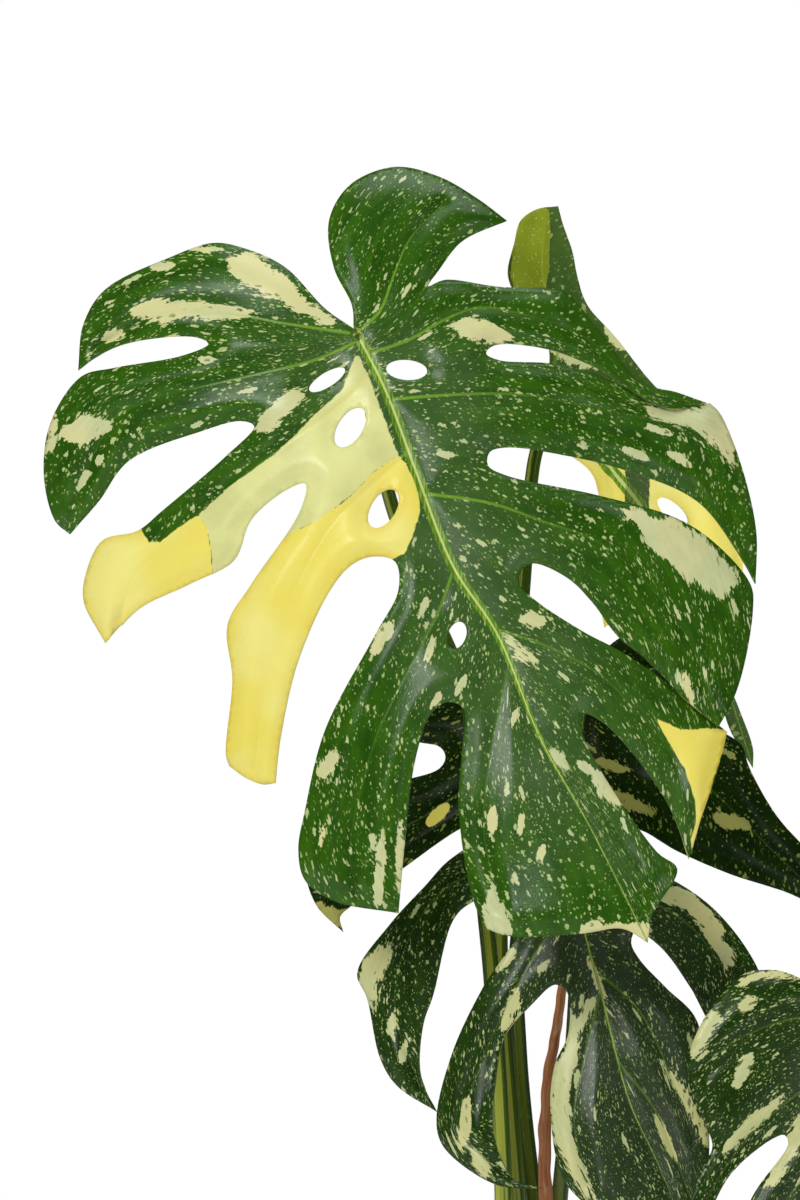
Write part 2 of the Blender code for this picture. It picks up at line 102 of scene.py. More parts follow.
# Each blade's outline: a run for each slot, from the last run's end at a lobe's tip to the next tip.
OUTLINES = {
    "front": [
        [(-19, 15), (-44, 41), (-70, 53), (-88, 56), (-115, 47), (-154, 28), (-167, 7), (-170, -21)],
        [(-154, -10), (-136, -4), (-97, -2), (-90, -6), (-106, -13), (-148, -20), (-168, -25), (-187, -53),
         (-191, -86), (-184, -113), (-175, -121)],
        [(-157, -101), (-139, -77), (-94, -59), (-70, -53), (-62, -56), (-79, -74), (-118, -107), (-133, -119),
         (-155, -125), (-166, -149), (-166, -163), (-153, -187)],
        [(-133, -167), (-100, -151), (-74, -137), (-64, -113), (-43, -95), (-31, -91), (-34, -107), (-64, -152),
         (-78, -176), (-75, -209), (-79, -254), (-77, -261)],
        [(-67, -268), (-56, -272), (-49, -271)],
        [(-46, -245), (-35, -197), (-16, -155), (-3, -140), (10, -135), (23, -138), (25, -155), (11, -182),
         (-19, -239), (-31, -287), (-35, -311), (-31, -329), (-14, -341), (25, -348)],
        [(29, -305), (35, -257), (44, -230), (54, -222), (64, -226), (63, -251), (61, -287), (70, -341),
         (78, -357)],
        [(92, -361), (134, -359), (158, -356), (173, -364)],
        [(176, -348), (191, -321), (179, -311), (146, -263), (135, -240), (136, -229), (146, -233), (162, -249),
         (185, -281), (193, -299), (198, -315)],
        [(205, -293), (217, -260), (222, -240)],
        [(202, -224), (183, -208), (157, -191), (136, -180), (107, -161), (98, -152), (99, -143), (106, -139),
         (127, -148), (142, -163), (157, -183), (186, -205), (205, -221), (220, -233)],
        [(229, -215), (239, -167), (238, -152), (218, -128), (194, -112), (146, -98), (90, -86), (79, -80),
         (80, -72), (90, -69), (122, -73), (164, -83), (206, -101), (230, -131), (241, -151)],
        [(242, -119), (233, -77), (221, -47), (215, -41)],
        [(190, -43), (170, -36), (150, -26), (119, -18), (86, -16), (78, -12), (83, -7), (116, -9), (152, -23),
         (172, -33), (192, -40), (214, -36)],
        [(197, -31), (179, -27), (168, -22), (146, 4), (134, 19), (125, 27), (86, 29), (53, 33), (43, 29),
         (49, 38), (64, 57), (91, 70)],
        [(74, 83), (50, 97), (23, 103), (-4, 92), (-17, 70), (-14, 40), (-3, 17), (-2, 3)],
    ],
    "rear": [
        [(-4, -12), (1, -23), (17, -31), (31, -42), (36, -56), (42, -100), (38, -121), (40, -138)],
        [(52, -129), (56, -114), (62, -108), (67, -114), (65, -138), (71, -162), (86, -181)],
        [(95, -168), (101, -153), (106, -147), (110, -153), (112, -174), (119, -201), (134, -226)],
        [(134, -214), (125, -189), (118, -171), (115, -138), (120, -120), (127, -106)],
        [(124, -88), (119, -66), (110, -36), (92, -8), (68, 14), (46, 41), (28, 61), (22, 78), (19, 93),
         (13, 110), (10, 121)],
        [(-3, 119), (-13, 112), (-17, 98), (-21, 79), (-16, 66), (-4, 53), (4, 36), (4, 18), (-2, 5)],
    ],
    "middle": [
        [(-12, 18), (-36, 24), (-66, 23), (-96, 11), (-123, -9), (-145, -33)],
        [(-126, -32), (-103, -33), (-90, -36), (-87, -42), (-91, -49), (-132, -62), (-159, -81), (-174, -97),
         (-172, -120), (-165, -135), (-150, -149)],
        [(-152, -140), (-145, -133), (-112, -109), (-79, -86), (-67, -81), (-61, -88), (-62, -102), (-54, -123),
         (-33, -141)],
        [(-6, -137), (15, -123), (24, -102), (25, -89), (31, -86), (55, -99), (87, -113), (126, -126),
         (147, -137), (167, -153)],
        [(163, -135), (147, -111), (117, -78), (100, -48), (95, -34), (69, -19), (54, -8), (57, -2), (66, 0),
         (83, 7)],
        [(75, 24), (54, 36), (30, 36), (11, 24), (0, 6)],
    ],
    "low": [
        [(-12, 19), (-36, 28), (-57, 30), (-77, 19), (-92, 3), (-113, -20), (-133, -50), (-127, -65),
         (-119, -101), (-109, -117), (-85, -132)],
        [(-95, -110), (-93, -80), (-87, -62), (-75, -17), (-65, -7), (-50, -2), (-41, -8), (-38, -26),
         (-57, -57), (-75, -95), (-85, -134), (-83, -149), (-74, -160), (-48, -175), (-21, -176)],
        [(-40, -170), (-51, -143), (-50, -117), (-44, -86), (-28, -67), (-14, -55), (-7, -59), (-6, -84),
         (-14, -102), (-17, -128), (-10, -169), (6, -187), (30, -204), (54, -214), (72, -226)],
        [(72, -198), (78, -151), (76, -124), (71, -76), (53, -57), (37, -40), (32, -30), (35, -23), (49, -32),
         (67, -56), (85, -88), (109, -107)],
        [(118, -82), (108, -45), (82, -10), (52, 10), (36, 15), (18, 14), (1, 4)],
    ],
    "side": [
        [(-20, 18), (-53, 34), (-65, 35), (-76, 33), (-97, 12), (-110, -19), (-104, -47), (-96, -69),
         (-103, -82), (-113, -120), (-110, -139)],
        [(-103, -121), (-86, -86), (-60, -64), (-53, -62), (-51, -67), (-74, -101), (-83, -147), (-76, -171)],
        [(-54, -137), (-44, -119), (-38, -115), (-36, -121), (-44, -168), (-41, -195), (-24, -219)],
        [(-11, -198), (2, -147), (7, -139), (13, -144), (20, -165), (37, -186)],
        [(50, -162), (54, -135), (43, -93), (46, -86), (53, -90), (64, -105), (81, -117)],
        [(86, -90), (79, -60), (57, -33), (61, -24), (74, -27), (92, -36)],
        [(91, -9), (76, 15), (52, 27), (28, 27), (10, 15), (-1, 4)],
    ],
}

# Each petiole's way up to its blade, as in the frame's CAD: the side of the stem that it leaves,
# how far below the stem's top, and the points that it bends through.
PETIOLES = {
    "front": {
        "side": 190, "below": 6,
        "through": [(-24, -8, 76), (-31, -10, 203), (-36, -6, 255), (-42, 0, 328), (-46, 4, 376), (-70, 8, 436),
            (-92, 2, 494), (-102, -10, 538), (-108, -24, 572)],
    },
    "rear": {
        "side": 110, "below": 14,
        "through": [(-16, 9, 76), (-26, 12, 232), (-19, 14, 340), (-11, 18, 450), (-5, 24, 520)],
    },
    "middle": {
        "side": 50, "below": 26,
        "through": [(-6, 20, 76), (-14, 40, 160), (-14, 66, 232), (4, 92, 300), (22, 94, 352)],
    },
    "low": {
        "side": -60, "below": 34,
        "through": [(10, -16, 70), (16, -30, 140), (20, -46, 215)],
    },
    "side": {
        "side": 0, "below": 48,
        "through": [(30, -14, 0), (78, -48, 64), (140, -92, 128), (178, -120, 158)],
    },
}

SHEATH_POINTS = [(8, -29, 8), (1, -30, 84), (3, -31, 145), (9, -32, 182), (14, -32, 222)]

# Side veins of each blade, left (1) and right (-1) of its midrib seen down its length, from the
# top down, each from the midrib outward.
VEINS = {
    ("front", 1): [
        [(2, 2), (14, 14), (22, 35), (32, 58), (52, 80)],
        [(8, -12), (31, -4), (52, 8), (73, 16), (97, 13), (134, 1), (170, -25), (205, -36)],
        [(20, -40), (62, -37), (100, -37), (139, -44), (177, -52), (206, -65), (238, -135)],
        [(42, -97), (81, -103), (110, -113), (145, -126), (170, -146), (200, -185), (218, -225)],
        [(82, -178), (110, -187), (146, -206), (164, -224), (188, -254), (199, -308)],
        [(108, -240), (140, -275), (168, -320)],
    ],
    ("front", -1): [
        [(-3, 0), (-49, 7), (-74, 12), (-115, 14), (-160, -8)],
        [(0, -5), (-25, -16), (-58, -24), (-90, -31), (-123, -39), (-148, -52), (-172, -101)],
        [(12, -20), (-1, -34), (-31, -59), (-76, -92), (-119, -129), (-137, -148), (-145, -180)],
        [(30, -72), (-10, -110), (-32, -145), (-42, -170), (-55, -210), (-62, -262)],
        [(58, -143), (49, -168), (37, -191), (20, -224), (11, -245), (-4, -311), (0, -335)],
        [(90, -203), (80, -251), (76, -299), (86, -345)],
    ],
    ("rear", 1): [
        [(0, 3), (10, 40), (0, 80), (2, 112)],
        [(8, -4), (50, 10)],
        [(25, -22), (80, -20), (115, -70), (125, -100)],
        [(85, -100), (110, -120)],
    ],
    ("rear", -1): [
        [(20, -17), (45, -55)],
        [(40, -37), (48, -80), (45, -130)],
        [(75, -84), (75, -130), (85, -170)],
    ],
    ("middle", 1): [
        [(1, -2), (35, 12), (75, 8)],
        [(-1, -12), (40, -30), (80, -65), (115, -100), (155, -138)],
        [(-8, -60), (8, -85), (12, -115)],
    ],
    ("middle", -1): [
        [(-1, -3), (-45, 0), (-95, -10), (-135, -30)],
        [(-3, -20), (-50, -45), (-100, -78), (-140, -100), (-162, -130)],
        [(-8, -60), (-30, -90), (-48, -120)],
    ],
    ("low", 1): [
        [(3, -10), (36, -4), (66, -19), (93, -55), (109, -100)],
        [(10, -46), (36, -70), (54, -106), (69, -148)],
        [(23, -100), (46, -130), (66, -180)],
    ],
    ("low", -1): [
        [(0, -3), (-40, 12), (-75, 5), (-100, -25), (-110, -70), (-95, -118)],
        [(1, -8), (-17, -24), (-36, -55), (-48, -79), (-63, -115), (-69, -142), (-45, -168)],
        [(13, -60), (3, -100), (-3, -136), (6, -172)],
    ],
    ("side", 1): [
        [(3, -4), (45, 5), (85, -15), (92, -33)],
        [(1, -25), (40, -35), (70, -70), (82, -112)],
        [(-6, -62), (22, -85), (40, -130), (38, -180)],
    ],
    ("side", -1): [
        [(0, -3), (-41, 7), (-81, -6), (-106, -25)],
        [(-2, -15), (-41, -35), (-77, -66), (-104, -110), (-108, -135)],
        [(-6, -50), (-40, -85), (-62, -115), (-75, -165)],
    ],
}

# Variegated patches: an outline, or an oval as centre, half length, half width and angle.
PATCHES = {
    ("front", "khaki"): [
        [(-1, -13), (-9, -34), (-32, -56), (-47, -71), (-76, -92), (-96, -110), (-91, -116), (-88, -130),
         (-87, -145), (-79, -161), (-36, -119), (-23, -113), (-3, -98), (10, -84), (25, -74), (17, -53),
         (8, -29), (1, -13)],
    ],
    ("front", "yellow"): [
        [(-96, -110), (-109, -118), (-119, -126), (-126, -126), (-131, -118), (-154, -113), (-178, -137),
         (-172, -197), (-136, -191), (-87, -161), (-87, -145), (-88, -130), (-91, -116)],
        [(25, -74), (10, -84), (-3, -98), (-23, -113), (-36, -119), (-64, -137), (-94, -173), (-94, -281),
         (-40, -281), (-26, -221), (-5, -160), (22, -136), (29, -133), (33, -125), (38, -107), (36, -92),
         (29, -78)],
        [(175, -227), (180, -232), (195, -239), (208, -238), (223, -238), (223, -245), (215, -262), (203, -309),
         (200, -317), (199, -304), (203, -294), (202, -280), (196, -262), (188, -248), (179, -233)],
        (-109, -255, 7, 4, 70),
    ],
    ("front", "cream"): [
        [(-61, -58), (-59, -49), (-49, -41), (-43, -35), (-31, -34), (-32, -40), (-43, -50), (-53, -59)],
        [(-80, 46), (-67, 49), (-49, 40), (-34, 25), (-13, 8), (-19, 5), (-40, 16), (-58, 25), (-73, 32)],
        [(-139, 17), (-124, 21), (-94, 19), (-61, 14), (-70, 9), (-100, 10), (-118, 7), (-136, 11)],
        [(50, 5), (62, 9), (80, 7), (95, -1), (97, -7), (80, -7), (65, -2)],
        [(175, -44), (194, -43), (209, -44), (214, -37), (223, -40), (229, -53), (231, -71), (227, -79),
         (215, -65), (200, -56), (179, -52)],
        [(154, -104), (170, -106), (194, -113), (215, -128), (227, -143), (229, -148), (224, -155), (222, -161),
         (212, -158), (200, -149), (188, -137), (176, -128), (170, -116), (158, -109)],
        [(196, -200), (202, -206), (207, -222), (203, -219), (197, -207)],
        [(86, -182), (92, -184), (101, -191), (109, -197), (107, -202), (98, -197), (89, -188)],
        [(80, -326), (85, -332), (88, -347), (94, -359), (86, -362), (77, -358), (76, -344)],
        [(133, -357), (143, -348), (150, -354), (178, -353), (178, -368), (133, -366)],
        [(3, -2), (8, -9), (14, -22), (19, -34), (15, -32), (6, -15), (0, -6)],
        (-166, -58, 17, 8, 10), (-131, -86, 4, 7, 60), (-98, 53, 12, 2.2, -12), (-118, 42, 8, 2.5, 12),
        (-112, -3, 6, 3, 5), (-90, -16, 6, 2.5, -5), (-148, 0, 7, 3.5, 22), (-152, -15, 9, 2.5, 20),
        (-166, -88, 7, 2.5, 60), (-186, -60, 12, 2.6, 82), (106, -172, 8, 5, -12), (150, -274, 13, 6, -50),
        (121, -256, 9, 3, -45), (136, -261, 7, 3, -30), (81, -293, 10, 2.5, 85), (14, -323, 24, 3, 85),
        (-16, -259, 10, 5, 50), (26, -318, 27, 3, 88), (15, -183, 12, 4, 60), (40, -166, 8, 2, 65),
        (62, -212, 7, 2.2, 70), (45, -190, 9, 2.2, 72), (95, -230, 6, 2, 70), (98, -295, 8, 2.5, 80),
        (110, -312, 6, 2, 75), (-20, -300, 9, 2.2, 80), (47, -222, 7, 2, 60), (168, -72, 9, 2.6, -22),
        (196, -76, 10, 2.2, -30), (183, -58, 9, 2.6, -18), (-42, -122, 3, 2, 0),
    ],
    ("rear", "khaki"): [
        [(-20, 78), (-18, 93), (-16, 107), (-10, 116), (-1, 121), (4, 119), (5, 102), (4, 81), (1, 66),
         (-16, 66)],
    ],
    ("rear", "yellow"): [
        [(0, -20), (20, -24), (40, -30), (52, -34), (52, -90), (48, -130), (40, -140), (34, -120), (30, -60),
         (0, -32)],
        [(67, -38), (86, -44), (104, -54), (118, -66), (130, -92), (126, -116), (112, -112), (95, -92),
         (80, -80), (67, -76)],
        (48, -133, 14, 8, -40),
    ],
    ("rear", "cream"): [
        (22, 30, 19, 7, -15), (48, 40, 12, 5, -40), (104, -40, 16, 5, -55), (20, -5, 12, 6, 20),
    ],
    ("middle", "yellow"): [(-92, -77, 10, 4, 45), (-96, -37, 5, 3, 20)],
    ("middle", "cream"): [
        [(-168, -131), (-161, -132), (-151, -135), (-146, -133), (-151, -147), (-159, -145)],
        (16, -47, 13, 3, -15), (28, -70, 14, 4, -30), (89, -81, 12, 4, -15), (-40, 4, 14, 3, 8),
    ],
    ("low", "cream"): [
        [(50, -101), (57, -108), (66, -119), (74, -135), (77, -148), (74, -152), (70, -139), (62, -124),
         (54, -112)],
        [(-114, -30), (-121, -34), (-128, -41), (-133, -49), (-133, -55), (-128, -66), (-124, -73), (-121, -64),
         (-121, -55), (-115, -45), (-112, -36)],
        [(-5, -70), (-7, -90), (-14, -102), (-17, -115), (-18, -130), (-14, -148), (-7, -163), (3, -181),
         (10, -184), (6, -172), (-1, -154), (-5, -136), (-6, -121), (-3, -106), (1, -91), (0, -73)],
        [(46, 0), (55, 4), (69, 0), (82, -13), (90, -28), (95, -45), (89, -47), (82, -33), (72, -19), (61, -9),
         (50, -5)],
        (-43, -41, 9.5, 3.5, 52), (-20, -44, 5, 3, 50), (-41, -69, 14, 4, 70), (-68, -139, 17, 3.5, 82),
        (-59, -162, 11, 4, 120), (2, -76, 14, 3.5, 62), (11, -51, 14, 2.2, -68), (52, -146, 16, 2.5, -65),
        (-104, -95, 9, 2.5, 75), (-112, -80, 7, 2.5, 85),
    ],
    ("side", "cream"): [
        [(-96, 13), (-89, 11), (-94, 0), (-101, -12), (-105, -19), (-108, -13), (-107, -3), (-102, 7)],
        [(-80, 31), (-65, 35), (-50, 33), (-41, 29), (-50, 30), (-65, 30), (-78, 25)],
        [(-41, -48), (-47, -54), (-54, -65), (-62, -81), (-65, -93), (-59, -90), (-50, -77), (-43, -66)],
        (-75, 16, 7, 4, 20), (-78, -24, 12, 4, 60), (-71, -55, 24, 4.5, 42), (30, -60, 14, 4, -50),
        (60, 5, 16, 4, -15), (-20, -150, 18, 3, 80),
    ],
}

# Where a lobe laps over the next: the slot's line, from its closed end, and how far (mm) it moves across.
LAPS = {
    "front": [
        ([(145, -22), (172, -34), (192, -41), (214, -38)], 5),
        ([(170, -194), (186, -206), (205, -222), (221, -236)], 5),
    ],
}


def smooth_run(points, step):
    """Points about a step apart on a smooth curve (centripetal Catmull-Rom) through the points."""
    points = [np.array(point, float) for point in points]
    points = [2 * points[0] - points[1], *points, 2 * points[-1] - points[-2]]
    run = [points[1]]
    for before, start, end, after in zip(points, points[1:], points[2:], points[3:]):
        gaps = [math.sqrt(np.linalg.norm(b - a)) for a, b in ((before, start), (start, end), (end, after))]
        count = max(1, round(np.linalg.norm(end - start) / step))
        first, middle, last = gaps
        slope_in = (start - before) / first - (end - before) / (first + middle) + (end - start) / middle
        slope_out = (end - start) / middle - (after - start) / (middle + last) + (after - end) / last
        for part in range(1, count + 1):
            t = part / count
            run.append(
                (2 * t**3 - 3 * t**2 + 1) * start
                + (t**3 - 2 * t**2 + t) * slope_in * middle
                + (3 * t**2 - 2 * t**3) * end
                + (t**3 - t**2) * slope_out * middle
            )
    return run


def oval(shape, count):
    """An oval as a closed loop: centre, half length, half width and the angle of its length."""
    x, z, half_length, half_width, angle = shape
    turn = math.radians(angle)
    parts = np.arange(count) * math.tau / count
    along, across = half_length * np.cos(parts), half_width * np.sin(parts)
    cos, sin = math.cos(turn), math.sin(turn)
    return np.column_stack((x + along * cos - across * sin, z + along * sin + across * cos))


def follow(points, line):
    """Each point's distance to a polyline, how far along it lies, and its side: +1 left, -1 right."""
    nearest = np.full(len(points), np.inf)
    along = np.zeros(len(points))
    side = np.ones(len(points))
    passed = 0.0
    for start, end in zip(line, line[1:]):
        step = end - start
        length = np.linalg.norm(step)
        offset = points - start
        share = np.clip(offset @ step / length**2, 0, 1)
        distance = np.linalg.norm(offset - share[:, None] * step, axis=1)
        closer = distance < nearest
        nearest = np.where(closer, distance, nearest)
        along = np.where(closer, passed + share * length, along)
        turn = step[0] * offset[:, 1] - step[1] * offset[:, 0]
        side = np.where(closer, np.where(turn < 0, -1.0, 1.0), side)
        passed += length
    return nearest, along, side


def inside(points, loop):
    """Whether each point lies inside the closed loop."""
    result = np.zeros(len(points), bool)
    for start, end in zip(loop, np.roll(loop, -1, axis=0)):
        spans = (start[1] > points[:, 1]) != (end[1] > points[:, 1])
        with np.errstate(divide="ignore", invalid="ignore"):
            cross = start[0] + (points[:, 1] - start[1]) / (end[1] - start[1]) * (end[0] - start[0])
        result ^= spans & (points[:, 0] < cross)
    return result


def closed(loop):
    return np.vstack([loop, loop[:1]])


def line_length(line):
    return np.linalg.norm(np.diff(line, axis=0), axis=1).sum()


def unit(step):
    return step / np.linalg.norm(step)


def spread(groups):
    """Points from several groups, each kept only where it stands clear of those kept before it."""
    kept = []
    cells = {}
    size = GRID * 1.5
    for points, gap in groups:
        for x, z in points:
            column, row = int(x // size), int(z // size)
            around = [
                spot for i in (-1, 0, 1) for j in (-1, 0, 1) for spot in cells.get((column + i, row + j), ())
            ]
            if all((x - a) ** 2 + (z - b) ** 2 >= gap**2 for a, b in around):
                kept.append((x, z))
                cells.setdefault((column, row), []).append((x, z))
    return np.array(kept)


def vein_rows(line, offsets):
    """Rows of points beside a vein, so that its groove is sharp."""
    line = np.array(line)
    ahead = np.gradient(line, axis=0)
    ahead /= np.linalg.norm(ahead, axis=1)[:, None]
    across = np.column_stack((-ahead[:, 1], ahead[:, 0]))
    return np.vstack([line + across * offset for offset in offsets])


def on_sheet(points, loops):
    """Whether each point lies inside the outline and outside every hole."""
    keep = inside(points, loops[0])
    for loop in loops[1:]:
        keep &= ~inside(points, loop)
    return keep


def sheet_layout(loops, midrib, veins):
    """The flat mesh of a blade: its points and its triangles, in its front view."""
    low, high = loops[0].min(axis=0), loops[0].max(axis=0)
    rows = []
    height = GRID * math.sqrt(3) / 2
    for row in range(int((high[1] - low[1]) / height) + 1):
        spots = low[0] + GRID / 2 * (row % 2) + np.arange(int((high[0] - low[0]) / GRID) + 1) * GRID
        rows.append(np.column_stack((spots, np.full(len(spots), low[1] + row * height))))
    ribs = vein_rows(midrib, np.array([0, -1.2, 1.2, -2.5, 2.5, -4, 4]) * MM)
    laterals = np.vstack([vein_rows(line, np.array([0, -1.0, 1.0, -2.3, 2.3]) * MM) for line in veins])
    clear = []
    for points in (ribs, laterals, np.vstack(rows)):
        points = points[on_sheet(points, loops)]
        for loop in loops:
            points = points[follow(points, closed(loop))[0] > 0.9 * MM]
        clear.append(points)
    gaps = (0, 0.8 * MM, 0.8 * MM, GRID * 0.62)
    points = spread(zip([np.vstack(loops), *clear], gaps))
    edges = []
    first = 0
    for loop in loops:
        count = len(loop)
        edges += [(first + i, first + (i + 1) % count) for i in range(count)]
        first += count
    made = delaunay_2d_cdt([Vector(point) for point in points], edges, [], 0, 1e-8)
    flat = np.array([tuple(point) for point in made[0]])
    corners = np.array(made[2])
    return flat, corners[on_sheet(flat[corners].mean(axis=1), loops)]


def flow_lines(flat, midrib, name):
    """A pattern that runs along the side veins: along, across (mm), and the midrib's two halves apart."""
    rib, rib_along, rib_side = follow(flat, midrib)
    flow = np.zeros((len(flat), 3))
    vein = np.full(len(flat), REACH)
    ridge = np.zeros(len(flat))
    spots = np.arange(len(flat))
    for side in (1, -1):
        here = rib_side == side
        runs = []
        for line in VEINS[name, side]:
            line = np.array(smooth_run(line, 5)) * MM
            away, along, _ = follow(flat, line)
            taper = 1 - 0.75 * along / line_length(line)
            fine = away / MM / taper
            vein = np.where(here & (fine < vein), fine, vein)
            ridge = np.where(here, np.maximum(ridge, taper * np.exp(-((away / (1.8 * MM)) ** 2))), ridge)
            inward = line[0] + unit(line[0] - line[1]) * VEIN_INWARD
            onward = line[-1] + unit(line[-1] - line[-2]) * VEIN_ONWARD
            away, along, turn = follow(flat, np.vstack([inward, line, onward]))
            runs.append((away * turn * -side, along - VEIN_INWARD))
        leaves = follow(line[:1], midrib)[1][0]  # where the last side vein leaves the midrib
        runs.append((-rib, rib_along - leaves))
        below, along = (np.array(part) for part in zip(*runs))
        last = len(runs) - 1
        count = (below[:-1] > 0).sum(axis=0) - 1
        upper, lower = np.clip(count, 0, last), np.clip(count + 1, 0, last)
        over, under = np.abs(below[upper, spots]), np.abs(below[lower, spots])
        share = np.where(count >= 0, over / (over + under + 1e-6), 0)
        across = np.where(count < 0, -over / MM, upper * BAND + share * BAND)
        passed = (along[upper, spots] * (1 - share) + along[lower, spots] * share) / MM
        flow[here] = np.column_stack((passed, across, np.full(len(flat), 400.0 * side)))[here]
    return flow, vein, rib, 1 - 0.8 * rib_along / line_length(midrib), ridge


def patch_depths(flat, shapes):
    """How far (mm) each point lies inside the nearest patch, negative outside."""
    result = np.full(len(flat), -REACH)
    for shape in shapes:
        ellipse = isinstance(shape, tuple)
        loop = (oval(shape, 16) if ellipse else np.array(shape, float)) * MM
        low, high = loop.min(axis=0) - REACH * MM, loop.max(axis=0) + REACH * MM
        box = (flat > low).all(axis=1) & (flat < high).all(axis=1)
        near = flat[box]
        distance = follow(near, closed(loop))[0] / MM
        depth = np.where(inside(near, loop), distance, -distance)
        if ellipse:
            depth *= max(1, 5 / shape[3])  # a narrow streak frays less
        result[box] = np.maximum(result[box], depth)
    return result


def sheet_depth(blade, flat, rib):
    """How far back (+Y) the plain sheet lies at each point, as in the CAD."""
    ease = np.clip((np.linalg.norm(flat, axis=1) - 9 * MM) / (9 * MM), 0, 1)
    lean_x, lean_z = blade["lean"]
    return lean_x * flat[:, 0] + lean_z * flat[:, 1] + blade["droop"] * rib**2 * ease


def relief(flat, vein, rib, taper, edge):
    """The leaf's own relief in mm, positive towards its underside: grooves, pillows and a rolled margin."""
    away = np.minimum(vein, rib / MM)
    bumps = np.array([noise.noise(Vector((x * 9, z * 9, 0.5))) for x, z in flat])
    frill = np.array([noise.noise(Vector((x * 28, z * 28, 7.5))) for x, z in flat])
    groove = 0.8 * np.exp(-((vein / 2.6) ** 2)) + 2.0 * taper * np.exp(-((rib / (4.2 * MM)) ** 2))
    pillow = -4.2 * (1 - np.exp(-((away / 17) ** 2)))
    roll = 6.0 * np.exp(-((edge / (8 * MM)) ** 2)) * np.clip(rib / (40 * MM), 0, 1)
    return groove + pillow + roll + bumps * 5.0 * np.clip(rib / (50 * MM), 0, 1) + frill * 1.1


def lap(name, flat, depth):
    """Moves a lobe's edge over its neighbour, along the slots that the real blade shows closed."""
    moved = flat.copy()
    for line, reach in LAPS.get(name, ()):
        line = np.array(line) * MM
        away, along, side = follow(flat, line)
        length = np.linalg.norm(line[-1] - line[0])
        ahead = (line[-1] - line[0]) / length
        share = np.clip(along / length * 2, 0, 1) * np.exp(-((away / (22 * MM)) ** 2)) * (side > 0)
        moved += share[:, None] * np.array([ahead[1], -ahead[0]]) * reach * MM
        depth = depth - share * 7 * MM
    return moved, depth


def above_stem(points):
    """Points given in millimetres from the axis and up from the stem's top."""
    return [Vector((x * MM, y * MM, STEM_TOP + z * MM)) for x, y, z in points]


def joint_of(blade):
    return above_stem([blade["joint"]])[0]


def blade_back(blade):
    lean_x, lean_z = blade["lean"]
    return Vector((-lean_x, 1, -lean_z)).normalized() * blade["front"]


def add_object(name, data):
    thing = bpy.data.objects.new(name, data)
    bpy.context.scene.collection.objects.link(thing)
    return thing


def add_piece(name, mesh, looks, node):
    """A new piece that stands for a CAD node and rides on the body."""
    piece = add_object(name, mesh)
    for look in looks:
        mesh.materials.append(look)
    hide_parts(node)
    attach(piece, "root")
    return piece


def set_vector(mesh, name, values):
    held = mesh.attributes.new(name, "FLOAT_VECTOR", "POINT")
    held.data.foreach_set("vector", np.ascontiguousarray(values, np.float32).ravel())


def thicken(piece, thickness, offset, **settings):
    shell = piece.modifiers.new("thickness", "SOLIDIFY")
    shell.thickness, shell.offset = thickness, offset
    for key, value in settings.items():
        setattr(shell, key, value)


def blade_outline(name):
    """A blade's closed outline, smooth but for a corner at each lobe's tip."""
    loop = []
    tip = OUTLINES[name][-1][-1]
    for run in OUTLINES[name]:
        loop += smooth_run([tip, *run], GRID / MM)[:-1]
        tip = run[-1]
    return np.array(loop)


def make_blade(name, looks):
    """A leaf blade: its upper side as a mesh with its patterns, thickened away from the front."""
    blade = BLADES[name]
    loops = [blade_outline(name) * MM, *(oval(hole, HOLE_SIDES) * MM for hole in blade["holes"])]
    midrib, *veins = [
        np.array(smooth_run(line, VEIN_STEP / MM)) * MM
        for line in (blade["midrib"], *VEINS[name, 1], *VEINS[name, -1])
    ]
    flat, corners = sheet_layout(loops, midrib, veins)
    flow, vein, rib, taper, ridge = flow_lines(flat, midrib, name)
    edge = np.min([follow(flat, closed(loop))[0] for loop in loops], axis=0)
    depth = sheet_depth(blade, flat, follow(flat, np.array(blade["midrib"]) * MM)[0])
    depth += relief(flat, vein, rib, taper, edge) * MM * blade["front"]
    moved, depth = lap(name, flat, depth)
    joint = joint_of(blade)
    used, corners = np.unique(corners, return_inverse=True)
    corners = corners.reshape(-1, 3)[:, :: blade["front"]]
    places = np.column_stack((moved[:, 0] + joint.x, depth + joint.y, moved[:, 1] + joint.z))[used]
    mesh = bpy.data.meshes.new("leaf_" + name)
    mesh.from_pydata(places.tolist(), [], corners.tolist())
    facing = np.array([face.normal.y for face in mesh.polygons]).mean() * blade["front"]
    if facing > 0:
        mesh.flip_normals()
    share = np.clip((taper - 0.32) / 0.40, 0, 1)
    broad = 0.12 + 0.88 * share**2 * (3 - 2 * share)  # the midrib's stripe narrows towards the tip
    down = flat[:, 1] / flat[:, 1].min()  # 0 at the joint's height, 1 at the lowest tip
    nothing = np.zeros(len(flat))
    for pattern, columns in {
        "flow": (flow,),
        "flat": (flat / MM, nothing),
        "lines": (vein, rib / MM / broad, edge / MM),
        "middle": (rib / MM, down, nothing),
        "patch": [patch_depths(flat, PATCHES.get((name, kind), ())) for kind in PATCH_KINDS],
    }.items():
        set_vector(mesh, pattern, np.column_stack(columns)[used])
    piece = add_piece("leaf_" + name, mesh, looks, "blade_" + name)
    thick = LAMINA + (RIB_DEPTH - LAMINA) * taper * np.exp(-((rib / (2.6 * MM)) ** 2)) + VEIN_DEPTH * ridge
    most = RIB_DEPTH + VEIN_DEPTH
    group = piece.vertex_groups.new(name="thick")
    for index, share in enumerate(thick[used] / most):
        group.add([index], float(share), "REPLACE")
    thicken(piece, most, -1, vertex_group="thick", material_offset=1, material_offset_rim=2)
    mesh.shade_smooth()


def quads(rows, wide, spans):
    """The faces between rows of points, a number of spans in each row."""
    return [
        (r * wide + i, r * wide + (i + 1) % wide, (r + 1) * wide + (i + 1) % wide, (r + 1) * wide + i)
        for r in range(rows - 1)
        for i in range(spans)
    ]


